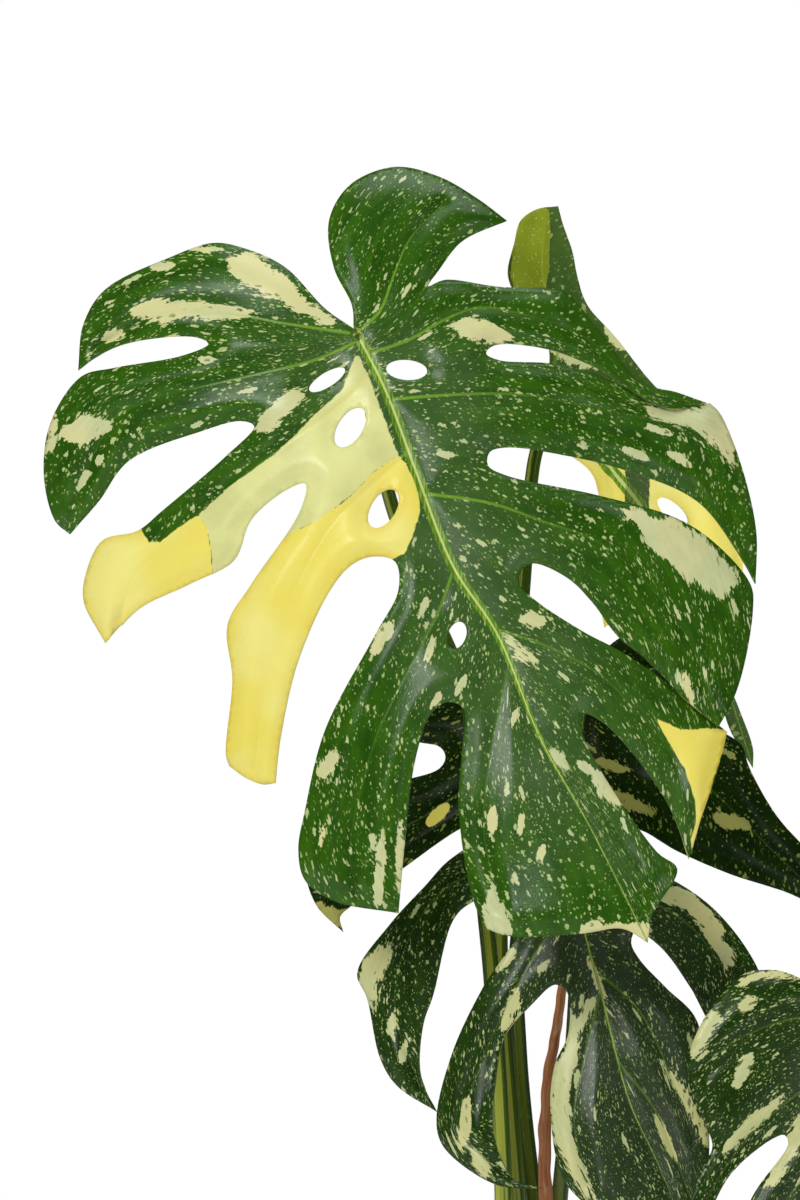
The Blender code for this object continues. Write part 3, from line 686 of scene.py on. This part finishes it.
def fill(mesh, body):
    """Puts a bmesh into a mesh, with its faces turned outwards."""
    bmesh.ops.recalc_face_normals(body, faces=body.faces)
    body.to_mesh(mesh)
    body.free()
    mesh.shade_smooth()
    return mesh


def swept_mesh(name, points, shape, sides):
    """A tube through the points. shape gives the radius for the share passed and the angles round it."""
    points = np.array(points)
    passed = np.concatenate([[0], np.cumsum(np.linalg.norm(np.diff(points, axis=0), axis=1))])
    ahead = np.gradient(points, axis=0)
    ahead /= np.linalg.norm(ahead, axis=1)[:, None]
    angles = np.arange(sides) * math.tau / sides
    across = np.cross(ahead[0], (0.0, 1.0, 0.0))
    places, wraps = [], []
    for point, direction, run in zip(points, ahead, passed):
        across = unit(across - direction * (across @ direction))
        other = np.cross(direction, across)
        ring = np.cos(angles)[:, None] * across + np.sin(angles)[:, None] * other
        places.append(point + ring * shape(run / passed[-1], angles)[:, None])
        wraps.append(np.column_stack((np.cos(angles) * 6, np.sin(angles) * 6, np.full(sides, run / MM))))
    faces = quads(len(points), sides, sides)
    faces += [tuple(range(sides))[::-1], tuple(range((len(points) - 1) * sides, len(points) * sides))]
    mesh = bpy.data.meshes.new(name)
    mesh.from_pydata(np.vstack(places).tolist(), [], faces)
    set_vector(mesh, "wrap", np.vstack(wraps))
    body = bmesh.new()
    body.from_mesh(mesh)
    return fill(mesh, body)


def make_petiole(name, look):
    """A stalk from the stem to its blade: ribbed, with a channel, and a swollen knee at its end."""
    petiole, blade = PETIOLES[name], BLADES[name]
    turn = math.radians(petiole["side"])
    outward = Vector((math.cos(turn), math.sin(turn), 0))
    on_axis = Vector((STEM_X, 0, STEM_TOP - petiole["below"] * MM))
    leaving = on_axis + outward * (STEM_RADIUS + PETIOLE_BASE_RADIUS) + Vector((0, 0, STEM_RADIUS * 1.6))
    back = blade_back(blade)
    end = joint_of(blade) + back * (1.6 * MM)
    route = [on_axis + outward * STEM_RADIUS * 0.5, leaving, *above_stem(petiole["through"])]
    points = smooth_run([*route, end + back * KNEE, end], 3.5 * MM)
    length = sum(np.linalg.norm(b - a) for a, b in zip(points, points[1:]))

    def shape(share, angles):
        plain = PETIOLE_BASE_RADIUS + (PETIOLE_TOP_RADIUS - PETIOLE_BASE_RADIUS) * share**0.6
        left = (1 - share) * length
        knee = 1 + 0.16 * math.exp(-(((left - 22 * MM) / (12 * MM)) ** 2))
        channel = 1 - 0.22 * (1 - share) * np.exp(-(((angles - 1.6) / 0.5) ** 2))
        ribs = 1 + 0.012 * np.sin(angles * 9)
        return plain * knee * channel * ribs

    mesh = swept_mesh("stalk_" + name, points, shape, 32)
    add_piece("stalk_" + name, mesh, [look], "petiole_" + name)


def make_stem(look):
    """The woody stem: leaf scars in rings, lumps, and a rounded top."""
    low = STEM_LOW.z
    points = [(STEM_X, 0, z) for z in np.arange(low, STEM_TOP + 0.4 * MM, 1.2 * MM)]

    def shape(share, angles):
        height = low + share * (STEM_TOP - low)
        ring = 0.06 * math.exp(-((((height * 1000) % 14) - 7) ** 2) / 1.6)
        lump = np.array([noise.noise(Vector((math.cos(a), math.sin(a), height * 60))) for a in angles])
        top = 1 - 0.45 * max(0, (height - STEM_TOP + 9 * MM) / (9 * MM)) ** 2
        return STEM_RADIUS * (0.95 + ring + 0.05 * lump) * top

    add_piece("woody_stem", swept_mesh("woody_stem", points, shape, 48), [look], "main_stem")


def turned_mesh(name, profile, segments):
    """A turned mesh from a closed or axis-ended profile of (radius, height)."""
    body = bmesh.new()
    rings = []
    for radius, height in profile:
        count = segments if radius > 1e-6 else 1
        angles = [math.tau * i / segments for i in range(count)]
        rings.append([body.verts.new((radius * math.cos(a), radius * math.sin(a), height)) for a in angles])
    for low, high in zip(rings, rings[1:]):
        for i in range(segments):
            j = (i + 1) % segments
            corners = [low[i % len(low)], low[j % len(low)], high[j % len(high)], high[i % len(high)]]
            body.faces.new(list(dict.fromkeys(corners)))
    mesh = fill(bpy.data.meshes.new(name), body)
    mesh.set_sharp_from_angle(angle=math.radians(40))
    return mesh


def make_pot(look):
    """The pot: a turned shell with a rim band and a recessed underside, cut by the drain holes."""
    _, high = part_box("pot")
    height, rim = high.z, high.x
    band, step, wall, foot, floor = 24 * MM, 3 * MM, 2.5 * MM, 82 * MM, 3 * MM

    def outer(z):
        return foot + (rim - step - foot) * z / height

    def bend(centre, radius, start, end):
        turns = np.radians(np.linspace(start, end, 6))
        return [(centre[0] + radius * math.cos(a), centre[1] + radius * math.sin(a)) for a in turns]

    under_band = height - band
    profile = [(0, 1.2 * MM), (foot - 14 * MM, 1.2 * MM), (foot - 11 * MM, 0), (foot - 2 * MM, 0)]
    profile += bend((foot - 1.6 * MM, 2 * MM), 2 * MM, -80, 0)
    profile += [(outer(z), z) for z in np.linspace(6 * MM, under_band - 4 * MM, 24)]
    profile += [(outer(under_band) + 0.2 * MM, under_band - 1.5 * MM)]
    profile += bend((outer(under_band) + step - 2.0 * MM, under_band + 1.5 * MM), 1.6 * MM, -75, 0)
    profile += [(rim - 1.4 * MM, height - 6 * MM)]
    profile += bend((rim - 2.2 * MM, height - 2.2 * MM), 2.2 * MM, 0, 90)
    profile += bend((outer(height) - wall + 1.5 * MM, height - 1.5 * MM), 1.5 * MM, 90, 180)
    profile += [(outer(z) - wall, z) for z in np.linspace(height - 4 * MM, floor + 2 * MM, 24)]
    profile += [(outer(floor) - wall - 2 * MM, floor), (0, floor)]
    mesh = turned_mesh("nursery_pot", profile, 160)
    piece = add_piece("nursery_pot", mesh, [look], "pot")
    body = bmesh.new()
    cone = {"cap_ends": True, "segments": 32, "radius1": 5 * MM, "radius2": 5 * MM, "depth": 12 * MM}
    for hole in range(DRAIN_HOLES):
        turn = math.tau * (hole + 0.5) / DRAIN_HOLES
        made = bmesh.ops.create_cone(body, **cone)
        spot = Vector((math.cos(turn), math.sin(turn), 0)) * 55 * MM
        bmesh.ops.translate(body, verts=made["verts"], vec=spot)
    cutter = add_object("drain_holes", bpy.data.meshes.new("drain_holes"))
    body.to_mesh(cutter.data)
    body.free()
    piece.modifiers.new("drains", "BOOLEAN").object = cutter
    bpy.context.view_layer.update()
    graph = bpy.context.evaluated_depsgraph_get()
    finished = bpy.data.meshes.new_from_object(piece.evaluated_get(graph))
    piece.modifiers.clear()
    piece.data = finished
    bpy.data.objects.remove(cutter, do_unlink=True)


def make_soil(look):
    """The soil's body and surface, with chips, grains and fibres lying on it."""
    low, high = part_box("soil")
    edge_radius, crown = high.x, high.z
    rings, sides = 46, 120
    body = bmesh.new()
    rows = []
    for radius in 9 * MM + (edge_radius - 9 * MM) * np.arange(rings + 1) / rings:
        row = []
        for turn in math.tau * np.arange(sides) / sides:
            x, y = radius * math.cos(turn), radius * math.sin(turn)
            share = radius / edge_radius
            height = crown - 5 * MM * share**1.7
            height += 2.2 * MM * noise.noise(Vector((x * 90, y * 90, 3.0)))
            height += 1.0 * MM * noise.noise(Vector((x * 260, y * 260, 9.0)))
            row.append(body.verts.new((STEM_X * (1 - share) + x, y, min(height, crown + 1.5 * MM))))
        rows.append(row)
    narrow = 0.73  # the pot's taper
    rows.append([
        body.verts.new((v.co.x * narrow, v.co.y * narrow, low.z + 1 * MM)) for v in rows[-1]
    ])
    for near, far in zip(rows, rows[1:]):
        for i in range(sides):
            j = (i + 1) % sides
            body.faces.new((near[i], near[j], far[j], far[i]))
    body.faces.new(rows[0][::-1])
    body.faces.new(rows[-1])
    rng = np.random.default_rng(11)
    for _ in range(CHIPS):
        kind = int(rng.choice([1, 1, 1, 2, 3]))  # a chip, a grain or a fibre
        radius = edge_radius * math.sqrt(rng.uniform(0.05, 0.90))
        turn = rng.uniform(0, math.tau)
        sizes = [rng.uniform(2.2, 6.5), rng.uniform(1.2, 2.6), rng.uniform(3, 8)]
        size = sizes[kind - 1] * MM
        shape = ((1, 0.6, 0.35), (1, 0.9, 0.8), (1, 0.1, 0.08))[kind - 1]
        height = crown - 5 * MM * (radius / edge_radius) ** 1.7 + size * 0.18
        spot = Vector((radius * math.cos(turn), radius * math.sin(turn), height))
        made = bmesh.ops.create_icosphere(body, subdivisions=2, radius=1)["verts"]
        spin, tip, seed = rng.uniform(0, math.tau), rng.uniform(-0.35, 0.35), rng.uniform(0, 50)
        for vert in made:
            rough = 1 + 0.35 * noise.noise(vert.co * 1.6 + Vector((seed, 0, 0)))
            x, y, z = (part * factor * rough for part, factor in zip(vert.co, shape))
            z += x * tip
            turned = (x * math.cos(spin) - y * math.sin(spin), x * math.sin(spin) + y * math.cos(spin), z)
            vert.co = spot + Vector(turned) * size
    mesh = fill(bpy.data.meshes.new("soil_bed"), body)
    add_piece("soil_bed", mesh, [look], "soil")


def make_sheath(look):
    """The dried leaf sheath: a curled, frayed strip."""
    points = np.array(smooth_run(above_stem(SHEATH_POINTS), 2 * MM))
    across = np.linspace(-1, 1, 15)
    places, wraps = [], []
    for index, point in enumerate(points):
        share = index / (len(points) - 1)
        rough = [noise.noise(Vector((index * 0.16, side * 3, 2.0))) for side in (0, 1)]
        half = 5.6 * MM * (1 - 0.5 * share) * (1 + 0.18 * rough[0])
        shift = 1.2 * MM * rough[1] * share
        for side in across:
            curl = half * (0.95 * side * side - 0.3)
            wrinkle = 0.45 * MM * noise.noise(Vector((side * 4, index * 0.09, 5.0)))
            places.append(point + (side * half * 0.82 + shift, curl + wrinkle, 0))
            wraps.append((side * 5, 0, index * 2.0))
    mesh = bpy.data.meshes.new("dried_strip")
    mesh.from_pydata(np.array(places).tolist(), [], quads(len(points), len(across), len(across) - 1))
    set_vector(mesh, "wrap", np.array(wraps))
    mesh.shade_smooth()
    thicken(add_piece("dried_strip", mesh, [look], "dried_sheath"), 0.7 * MM, 0)


class Paint:
    """A material's nodes, built by short calls. Lengths in them are in millimetres."""

    def __init__(self, name, made=None):
        self.made = made or bpy.data.materials.new(name)
        self.made.use_nodes = True
        self.tree = self.made.node_tree
        self.shader = self.tree.nodes.get("Principled BSDF")

    def plug(self, socket, value):
        if isinstance(value, bpy.types.NodeSocket):
            self.tree.links.new(value, socket)
        else:
            socket.default_value = (*value, 1) if socket.type == "RGBA" else value

    def node(self, kind, values, **settings):
        made = self.tree.nodes.new(kind)
        for key, value in settings.items():
            setattr(made, key, value)
        for key, value in values.items():
            self.plug(made.inputs[key], value)
        return made

    def attribute(self, name):
        return self.node("ShaderNodeAttribute", {}, attribute_name=name).outputs["Vector"]

    def place(self):
        """The point's place on the object, in millimetres."""
        return self.scale(self.node("ShaderNodeTexCoord", {}).outputs["Object"], (1000, 1000, 1000))

    def math(self, operation, a, b=0.0, c=0.0):
        return self.node("ShaderNodeMath", {0: a, 1: b, 2: c}, operation=operation).outputs[0]

    def times(self, a, b):
        return self.math("MULTIPLY", a, b)

    def plus(self, a, b):
        return self.math("ADD", a, b)

    def rest(self, share, most=1.0):
        """What is left of 1 after the most of a share."""
        return self.math("MULTIPLY_ADD", share, -most, 1.0)

    def vector(self, operation, a, b):
        return self.node("ShaderNodeVectorMath", {0: a, 1: b}, operation=operation).outputs[0]

    def scale(self, vector, factors):
        return self.vector("MULTIPLY", vector, factors)

    def split(self, vector):
        return self.node("ShaderNodeSeparateXYZ", {0: vector}).outputs

    def noise(self, vector, scale, detail=2.0, roughness=0.5, colour=0):
        """Noise with one scale, or with one for each axis."""
        if isinstance(scale, tuple):
            vector, scale = self.scale(vector, scale), 1.0
        values = {"Vector": vector, "Scale": scale, "Detail": detail, "Roughness": roughness}
        return self.node("ShaderNodeTexNoise", values).outputs[colour]

    def jitter(self, vector, scale, amount):
        """The vector moved about by noise, by up to about the amount."""
        centred = self.vector("SUBTRACT", self.noise(vector, scale, colour=1), (0.5, 0.5, 0.5))
        return self.vector("ADD", vector, self.scale(centred, (amount * 2, amount * 2, 0)))

    def step(self, value, low, high):
        """0 at low, 1 at high, and smooth between, whichever of the two is larger."""
        values = {"Value": value, "From Min": low, "From Max": high}
        return self.node("ShaderNodeMapRange", values, interpolation_type="SMOOTHSTEP").outputs[0]

    def mix(self, share, a, b, most=1):
        """Colour b over colour a, by the most of a share."""
        share = share if most == 1 else self.times(share, most)
        return self.node("ShaderNodeMix", {0: share, 6: a, 7: b}, data_type="RGBA").outputs[2]

    def voronoi(self, vector, scale=1.0, feature="F1"):
        values = {"Vector": vector, "Scale": scale}
        return self.node("ShaderNodeTexVoronoi", values, feature=feature).outputs

    def flecks(self, vector, length, width, share, soft=0.1):
        """Scattered flecks: cells of a length and a width, a share of them filled."""
        cells = self.voronoi(self.scale(vector, (1 / length, 1 / width, 1)))
        random = self.split(cells["Color"])
        filled = self.math("GREATER_THAN", self.plus(random[0], share), 1.0)
        size = self.plus(self.times(random[1], 0.26), 0.15)
        return self.times(self.step(cells["Distance"], size, self.plus(size, -soft)), filled)

    def bump(self, height, strength, distance, below=None):
        values = {"Height": height, "Strength": strength, "Distance": distance}
        if below:
            values["Normal"] = below
        return self.node("ShaderNodeBump", values).outputs[0]

    def finish(self, colour, roughness, normal=None, **constants):
        values = {"Base Color": colour, "Roughness": roughness}
        values.update({name.replace("_", " "): value for name, value in constants.items()})
        if normal:
            values["Normal"] = normal
        for name, value in values.items():
            self.plug(self.shader.inputs[name], value)
        return self.made


# Of each kind of blade: its deep green, its bright green and the grey-green sheen painted near its midrib,
# how crowded its flecks are, how strongly its side veins show, how wide its midrib's stripe is, in mm from its
# middle, how bright its pale parts are (dimmed as painted shade in the shade kind), its gloss, and the size of
# its flecks.
KINDS = {
    "fresh": (
        (0.014, 0.070, 0.0005), (0.044, 0.150, 0.001), (0.085, 0.150, 0.055),
        0.85, 0.75, 3.6, 1.0, 0.26, 1.0,
    ),
    "dark": (
        (0.008, 0.030, 0.001), (0.020, 0.062, 0.002), (0.058, 0.073, 0.048),
        0.80, 0.2, 0.8, 0.92, 0.26, 0.75,
    ),
    # painted shade: darker greens, dimmer pale parts and less gloss, for the blade that lies in the front
    # blade's shadow
    "shade": (
        (0.003, 0.013, 0.0005), (0.012, 0.038, 0.001), (0.008, 0.020, 0.003),
        0.7, 0.2, 1.0, 0.55, 0.12, 0.9,
    ),
}
CREAM = (0.61, 0.66, 0.33)
YELLOW = (0.94, 0.81, 0.14)
BUTTER = (0.97, 0.89, 0.26)
KHAKI = (0.84, 0.85, 0.34)
OLIVE = (0.21, 0.27, 0.008)
VEIN_GREEN = (0.20, 0.40, 0.03)


def leaf_look(name, kind, sector, under=False, glow=0.0):
    """A blade's upper side or its underside: marbled greens with specks, flecks and cream patches.

    glow is the strength of light painted into its pale parts as emission, standing in for light through a blade
    lit from behind.
    """
    paint = Paint(name)
    step, times, plus, mix, cloudy = paint.step, paint.times, paint.plus, paint.mix, paint.noise
    deep, bright, painted_sheen, crowding, vein_strength, rib_width, lit, gloss, size = KINDS[kind]

    # tone dims the pale colours by lit; the shade kind's low lit is painted shade
    def tone(red, green, blue):
        return red * lit, green * lit, blue * lit * lit

    flow, flat = paint.attribute("flow"), paint.attribute("flat")
    vein, rib, edge = paint.split(paint.attribute("lines"))
    cream, yellow, khaki = paint.split(paint.attribute("patch"))
    from_rib, down, _ = paint.split(paint.attribute("middle"))

    base = mix(step(cloudy(flow, (0.035, 0.16, 1), 5, 0.6), 0.26, 0.80), deep, bright)
    cloud = step(cloudy(flat, (0.02, 0.02, 1)), 0.42, 0.75)
    # Painted sheen: a clouded grey-green sheen colour laid near the midrib, fading out at the joint and the
    # lowest tip, in place of a reflection of the lamps.
    painted_sheen_zone = times(times(step(from_rib, 85.0, 8.0), step(down, -0.06, 0.04)), step(down, 0.95, 0.72))
    base = mix(times(painted_sheen_zone, paint.math("MULTIPLY_ADD", cloud, 0.5, 0.35)), base, painted_sheen)
    fray_low = times(cloudy(flat, (0.06, 0.06, 1)), 12.0)
    base = mix(step(plus(edge, fray_low), 15.0, 0.0), base, bright, 0.5)

    crowd = cloudy(flat, (0.03, 0.03, 1))
    crowded = times(crowd, crowding)
    near_patch = times(step(cream, -9.0, -1.0), 0.45)
    ragged = paint.jitter(flow, 0.45, 1.3)
    dust = paint.flecks(paint.jitter(flow, 0.9, 0.5), 1.6 * size, 1.1 * size, crowded)
    fine = paint.flecks(paint.jitter(flow, 0.9, 0.5), 2.8 * size, 1.0 * size, crowded)
    specks = paint.flecks(paint.jitter(flow, 0.6, 0.7), 4.8 * size, 1.6 * size, times(crowded, 0.85))
    small = paint.flecks(
        ragged, 8.0 * size, 2.2 * size, plus(times(crowd, 0.62 * crowding), near_patch)
    )
    medium = paint.flecks(ragged, 18, 4.2, times(crowd, 0.34 * crowding), 0.05)
    for share, most, colour in (
        (dust, 0.42, (0.28, 0.43, 0.10)),
        (fine, 0.82, (0.46, 0.58, 0.22)),
        (specks, 0.85, (0.46, 0.58, 0.20)),
        (small, 0.92, (0.56, 0.64, 0.28)),
        (medium, 1, CREAM),
    ):
        base = mix(share, base, tone(*colour), most)

    broad = cloudy(paint.jitter(flow, 0.2, 3.0), (0.05, 0.18, 1), 3, 0.6)
    frayed = cloudy(ragged, (0.22, 0.70, 1), 3, 0.65)
    fray = plus(times(plus(broad, -0.5), 13.0), times(plus(frayed, -0.5), 8.0))
    islands = times(paint.flecks(ragged, 7.0, 2.6, 0.30), step(cream, 8.0, 1.0))
    cream_mask = times(step(plus(cream, fray), -0.3, 0.3), paint.rest(islands, 0.8))
    mottle = step(cloudy(flow, (0.10, 0.4, 1), 4), 0.35, 0.75)
    warmth = step(cloudy(flat, (0.018, 0.018, 1)), 0.35, 0.65)
    cream_tone = mix(mottle, tone(*CREAM), tone(0.70, 0.73, 0.40))
    base = mix(cream_mask, base, mix(warmth, cream_tone, tone(0.78, 0.74, 0.34), 0.8))
    smooth_fray = times(fray, 0.22)
    khaki_mask, yellow_mask = (
        step(plus(depth, smooth_fray), -0.4, 0.4) for depth in (khaki, yellow)
    )
    clouded = step(cloudy(flat, (0.03, 0.03, 1), 3), 0.38, 0.62)
    khaki_tone = mix(clouded, sector, tuple(0.87 * part for part in sector))
    base = mix(khaki_mask, base, mix(dust, khaki_tone, (0.82, 0.84, 0.46), 0.35))
    # painted shade: the yellow deepens to gold towards the margins, where the curled lobes turn away from the
    # light
    painted_edge_shade = step(plus(edge, smooth_fray), 7.0, 0.0)
    yellow_tone = mix(painted_edge_shade, mix(warmth, YELLOW, BUTTER), (0.84, 0.65, 0.07), 0.45)
    base = mix(yellow_mask, base, yellow_tone)

    pale = paint.math("MAXIMUM", khaki_mask, yellow_mask)
    clear = times(step(paint.split(flow)[0], 120.0, 10.0), vein_strength)
    clear = plus(times(clear, step(paint.split(flat)[1], -250.0, -110.0)), 0.10)
    vein_share = times(times(step(vein, 1.4, 0.5), clear), paint.rest(pale, 0.7))
    base = mix(vein_share, base, mix(pale, VEIN_GREEN, (0.80, 0.70, 0.16)))
    rib_stripe = step(cloudy(flat, (0.9, 0.06, 1)), 0.46, 0.60)
    rib_tone = mix(rib_stripe, tone(0.10, 0.24, 0.010), tone(0.27, 0.44, 0.05))
    rib_tone = mix(step(rib, rib_width * 0.26, rib_width * 0.12), rib_tone, tone(0.62, 0.72, 0.22))
    base = mix(step(rib, rib_width, rib_width * 0.75), base, rib_tone)
    if under:
        base = mix(paint.rest(pale), base, (0.20, 0.30, 0.07), 0.25)

    net = paint.voronoi(paint.scale(flow, (0.35, 0.55, 1)), feature="DISTANCE_TO_EDGE")["Distance"]
    normal = paint.bump(step(net, 0.0, 0.12), 0.10, 0.0003)
    normal = paint.bump(cloudy(flat, 1.6, 3), 0.12, 0.0003, normal)
    roughness = plus(times(cloudy(flat, (0.05, 0.05, 1), 3), 0.14), 0.56 if under else 0.20)
    lights = {"Specular_IOR_Level": gloss}
    # painted light: the pale parts emit their own colour, in place of light coming through the blade
    if glow:
        shown = mix(paint.math("MAXIMUM", pale, cream_mask), (0, 0, 0), base)
        lights.update(Emission_Color=shown, Emission_Strength=glow)
    return paint.finish(base, roughness, normal, **lights)


def rim_look():
    """The margin between a blade's two sides: pale beside a patch, green elsewhere."""
    paint = Paint("leaf_margin")
    streaks = paint.noise(paint.attribute("flat"), (0.08, 0.08, 1), 3)
    cream, yellow, khaki = paint.split(paint.attribute("patch"))
    depth = paint.math("MAXIMUM", yellow, paint.math("MAXIMUM", cream, khaki))
    base = paint.mix(streaks, (0.05, 0.11, 0.015), (0.14, 0.19, 0.04))
    return paint.finish(paint.mix(paint.step(depth, -5.0, -2.0), base, (0.72, 0.66, 0.26)), 0.5)


def stalk_look(name, dark, green, striped):
    """Petioles: smooth and glossy, in broad stripes of green, with yellow ones where they are striped."""
    paint = Paint(name)
    step = paint.step
    wrap = paint.attribute("wrap")
    wide = paint.noise(wrap, (0.20, 0.20, 0.003))
    fine = paint.noise(wrap, (0.85, 0.85, 0.012), 3, 0.6)
    specks = paint.noise(wrap, (1.2, 1.2, 0.25), 3)
    base = paint.mix(step(wide, 0.36, 0.50), dark, green)
    for share, most, colour in (
        (step(wide, 0.52, 0.58), striped, (0.50, 0.55, 0.07)),
        (step(fine, 0.52, 0.64), 0.6, (0.014, 0.040, 0.003)),
        (step(fine, 0.42, 0.34), 0.35, (0.26, 0.38, 0.03)),
        (step(specks, 0.64, 0.70), 0.5, (0.45, 0.52, 0.18)),
    ):
        base = paint.mix(share, base, colour, most)
    return paint.finish(base, 0.27, paint.bump(fine, 0.12, 0.0003), Specular_IOR_Level=0.35)


def bark_look():
    """The woody stem: greenish brown in rings, with paler blotches."""
    paint = Paint("stem_bark")
    place = paint.place()
    rings = paint.noise(place, (0.05, 0.05, 0.5), 4, 0.6)
    base = paint.mix(paint.step(rings, 0.35, 0.65), (0.075, 0.080, 0.028), (0.21, 0.17, 0.085))
    blotch = paint.noise(place, 0.25, 4, 0.7)
    base = paint.mix(paint.step(blotch, 0.55, 0.7), base, (0.28, 0.23, 0.13))
    normal = paint.bump(rings, 0.5, 0.0012)
    return paint.finish(base, 0.72, paint.bump(paint.noise(place, 1.2, 4), 0.4, 0.0006, normal))


def sheath_look():
    """The dried sheath: red-brown fibres, with paler blotches."""
    paint = Paint("dry_sheath")
    wrap = paint.attribute("wrap")
    fibres = paint.noise(wrap, (1.4, 1.4, 0.02), 4, 0.65)
    base = paint.mix(paint.step(fibres, 0.38, 0.66), (0.42, 0.125, 0.040), (0.70, 0.27, 0.105))
    blotch = paint.noise(wrap, (0.2, 0.2, 0.05), 3)
    base = paint.mix(paint.step(blotch, 0.52, 0.7), base, (0.74, 0.40, 0.22))
    return paint.finish(base, 0.55, paint.bump(fibres, 0.35, 0.0005))


def soil_look():
    """Dark soil: two tones in clumps and grains."""
    paint = Paint("soil_earth")
    place = paint.place()
    dark, light = (0.020, 0.012, 0.008), (0.070, 0.045, 0.028)
    clumps = paint.noise(place, 0.35, 5, 0.65)
    grains = paint.voronoi(place, 0.35 * 2.5)["Distance"]
    base = paint.mix(paint.step(clumps, 0.35, 0.68), dark, light)
    base = paint.mix(paint.step(grains, 0.5, 0.1), base, light, 0.3)
    normal = paint.bump(grains, 0.5, 0.00075, paint.bump(clumps, 0.8, 0.0015))
    return paint.finish(base, 0.95, normal)


def pot_look():
    """Moulded plastic in a plain terracotta brown, a little dusty, with scuffs."""
    paint = Paint("pot_plastic")
    place = paint.place()
    cloud = paint.noise(place, 0.012, 3)
    base = paint.mix(paint.step(cloud, 0.3, 0.7), (0.235, 0.085, 0.045), (0.30, 0.120, 0.066))
    scuff = paint.noise(place, (0.05, 0.05, 0.35), 5, 0.7)
    base = paint.mix(paint.step(scuff, 0.62, 0.72), base, (0.42, 0.25, 0.17), 0.35)
    normal = paint.bump(paint.noise(place, 1.8, 3), 0.25, 0.0003)
    return paint.finish(base, paint.math("MULTIPLY_ADD", cloud, 0.2, 0.42), normal)


def floor_look():
    """A plain pale floor that fades to white far from the object."""
    paint = Paint("studio_floor")
    place = paint.node("ShaderNodeNewGeometry", {}).outputs["Position"]
    away = paint.node("ShaderNodeVectorMath", {0: place}, operation="LENGTH").outputs["Value"]
    mottle = paint.noise(place, 3.0, 3)
    paint.finish(paint.mix(mottle, (0.80, 0.80, 0.79), (0.84, 0.84, 0.83)), 0.6)
    glow = paint.node("ShaderNodeEmission", {"Color": (1, 1, 1), "Strength": 1.0}).outputs[0]
    share = paint.plus(paint.times(paint.step(away, 0.6, 2.7), 0.72), 0.28)
    fade = paint.node("ShaderNodeMixShader", {0: share, 1: paint.shader.outputs[0], 2: glow})
    paint.plug(paint.tree.nodes["Material Output"].inputs["Surface"], fade.outputs[0])
    return paint.made


def make_floor():
    floor = add_object("floor", turned_mesh("floor", [(r, -0.6 * MM) for r in (0, 0.5, 3.0)], 96))
    floor.data.materials.append(floor_look())


def add_light(name, place, size, power):
    """A soft lamp, aimed at the middle of the plant."""
    lamp = bpy.data.lights.new(name, "AREA")
    lamp.shape = "RECTANGLE"
    lamp.size, lamp.size_y = size
    lamp.energy = power
    thing = add_object(name, lamp)
    thing.location = place
    thing.rotation_euler = (Vector((0, 0, 0.6)) - Vector(place)).to_track_quat("-Z", "Y").to_euler()


def make_studio():
    """The floor, the lamps, and a world that is white to the camera and dimmer to the plant."""
    make_floor()
    add_light("key", (-1.9, -2.6, 2.6), (1.3, 1.3), 64)
    add_light("fill", (2.4, -2.4, 1.2), (1.4, 1.8), 15)
    add_light("top", (0.2, 0.4, 3.0), (1.6, 1.6), 20)
    add_light("rear", (0.8, 2.6, 1.6), (1.6, 1.6), 12)
    paint = Paint("studio", bpy.data.worlds.new("studio"))
    bpy.context.scene.world = paint.made
    path = paint.node("ShaderNodeLightPath", {}).outputs
    strength = paint.math("MULTIPLY_ADD", path["Is Glossy Ray"], -0.18, 0.28)
    soft, white = (
        paint.node("ShaderNodeBackground", {"Color": (1, 1, 1), "Strength": value}).outputs[0]
        for value in (strength, 1.0)
    )
    seen = paint.node("ShaderNodeMixShader", {0: path["Is Camera Ray"], 1: soft, 2: white})
    paint.plug(paint.tree.nodes["World Output"].inputs["Surface"], seen.outputs[0])
    bpy.context.scene.view_settings.view_transform = "Standard"


def make_camera():
    """Level with the middle of the leaves, straight in front, with a long lens."""
    lens = bpy.data.cameras.new("camera")
    lens.lens, lens.sensor_width, lens.clip_end = 300, 36, 50
    camera = add_object("camera", lens)
    camera.location = (-0.087, -6.1, 0.68)
    camera.rotation_euler = (math.radians(90), 0, 0)
    bpy.context.scene.camera = camera


def main():
    make_camera()
    make_studio()
    margin = rim_look()
    fresh = leaf_look("leaf_fresh", "fresh", KHAKI)
    dark = leaf_look("leaf_dark", "dark", KHAKI)
    shaded = leaf_look("leaf_shaded", "shade", KHAKI)
    underside = leaf_look("leaf_underside", "fresh", KHAKI, under=True)
    # the rear blade's underside glows with painted light on its pale parts
    painted_glow_underside = leaf_look("leaf_painted_glow", "fresh", OLIVE, under=True, glow=0.35)
    striped = stalk_look("petiole_striped", (0.018, 0.056, 0.003), (0.080, 0.165, 0.010), 1.0)
    plain = stalk_look("petiole_dark", (0.008, 0.026, 0.002), (0.030, 0.085, 0.005), 0.25)
    for name in BLADES:
        # the middle blade wears the painted-shade copy of the leaf look
        upper = {"front": fresh, "rear": fresh, "middle": shaded}.get(name, dark)
        make_blade(name, [upper, painted_glow_underside if name == "rear" else underside, margin])
        make_petiole(name, striped if name in ("front", "rear") else plain)
    make_stem(bark_look())
    make_pot(pot_look())
    make_soil(soil_look())
    make_sheath(sheath_look())


main()
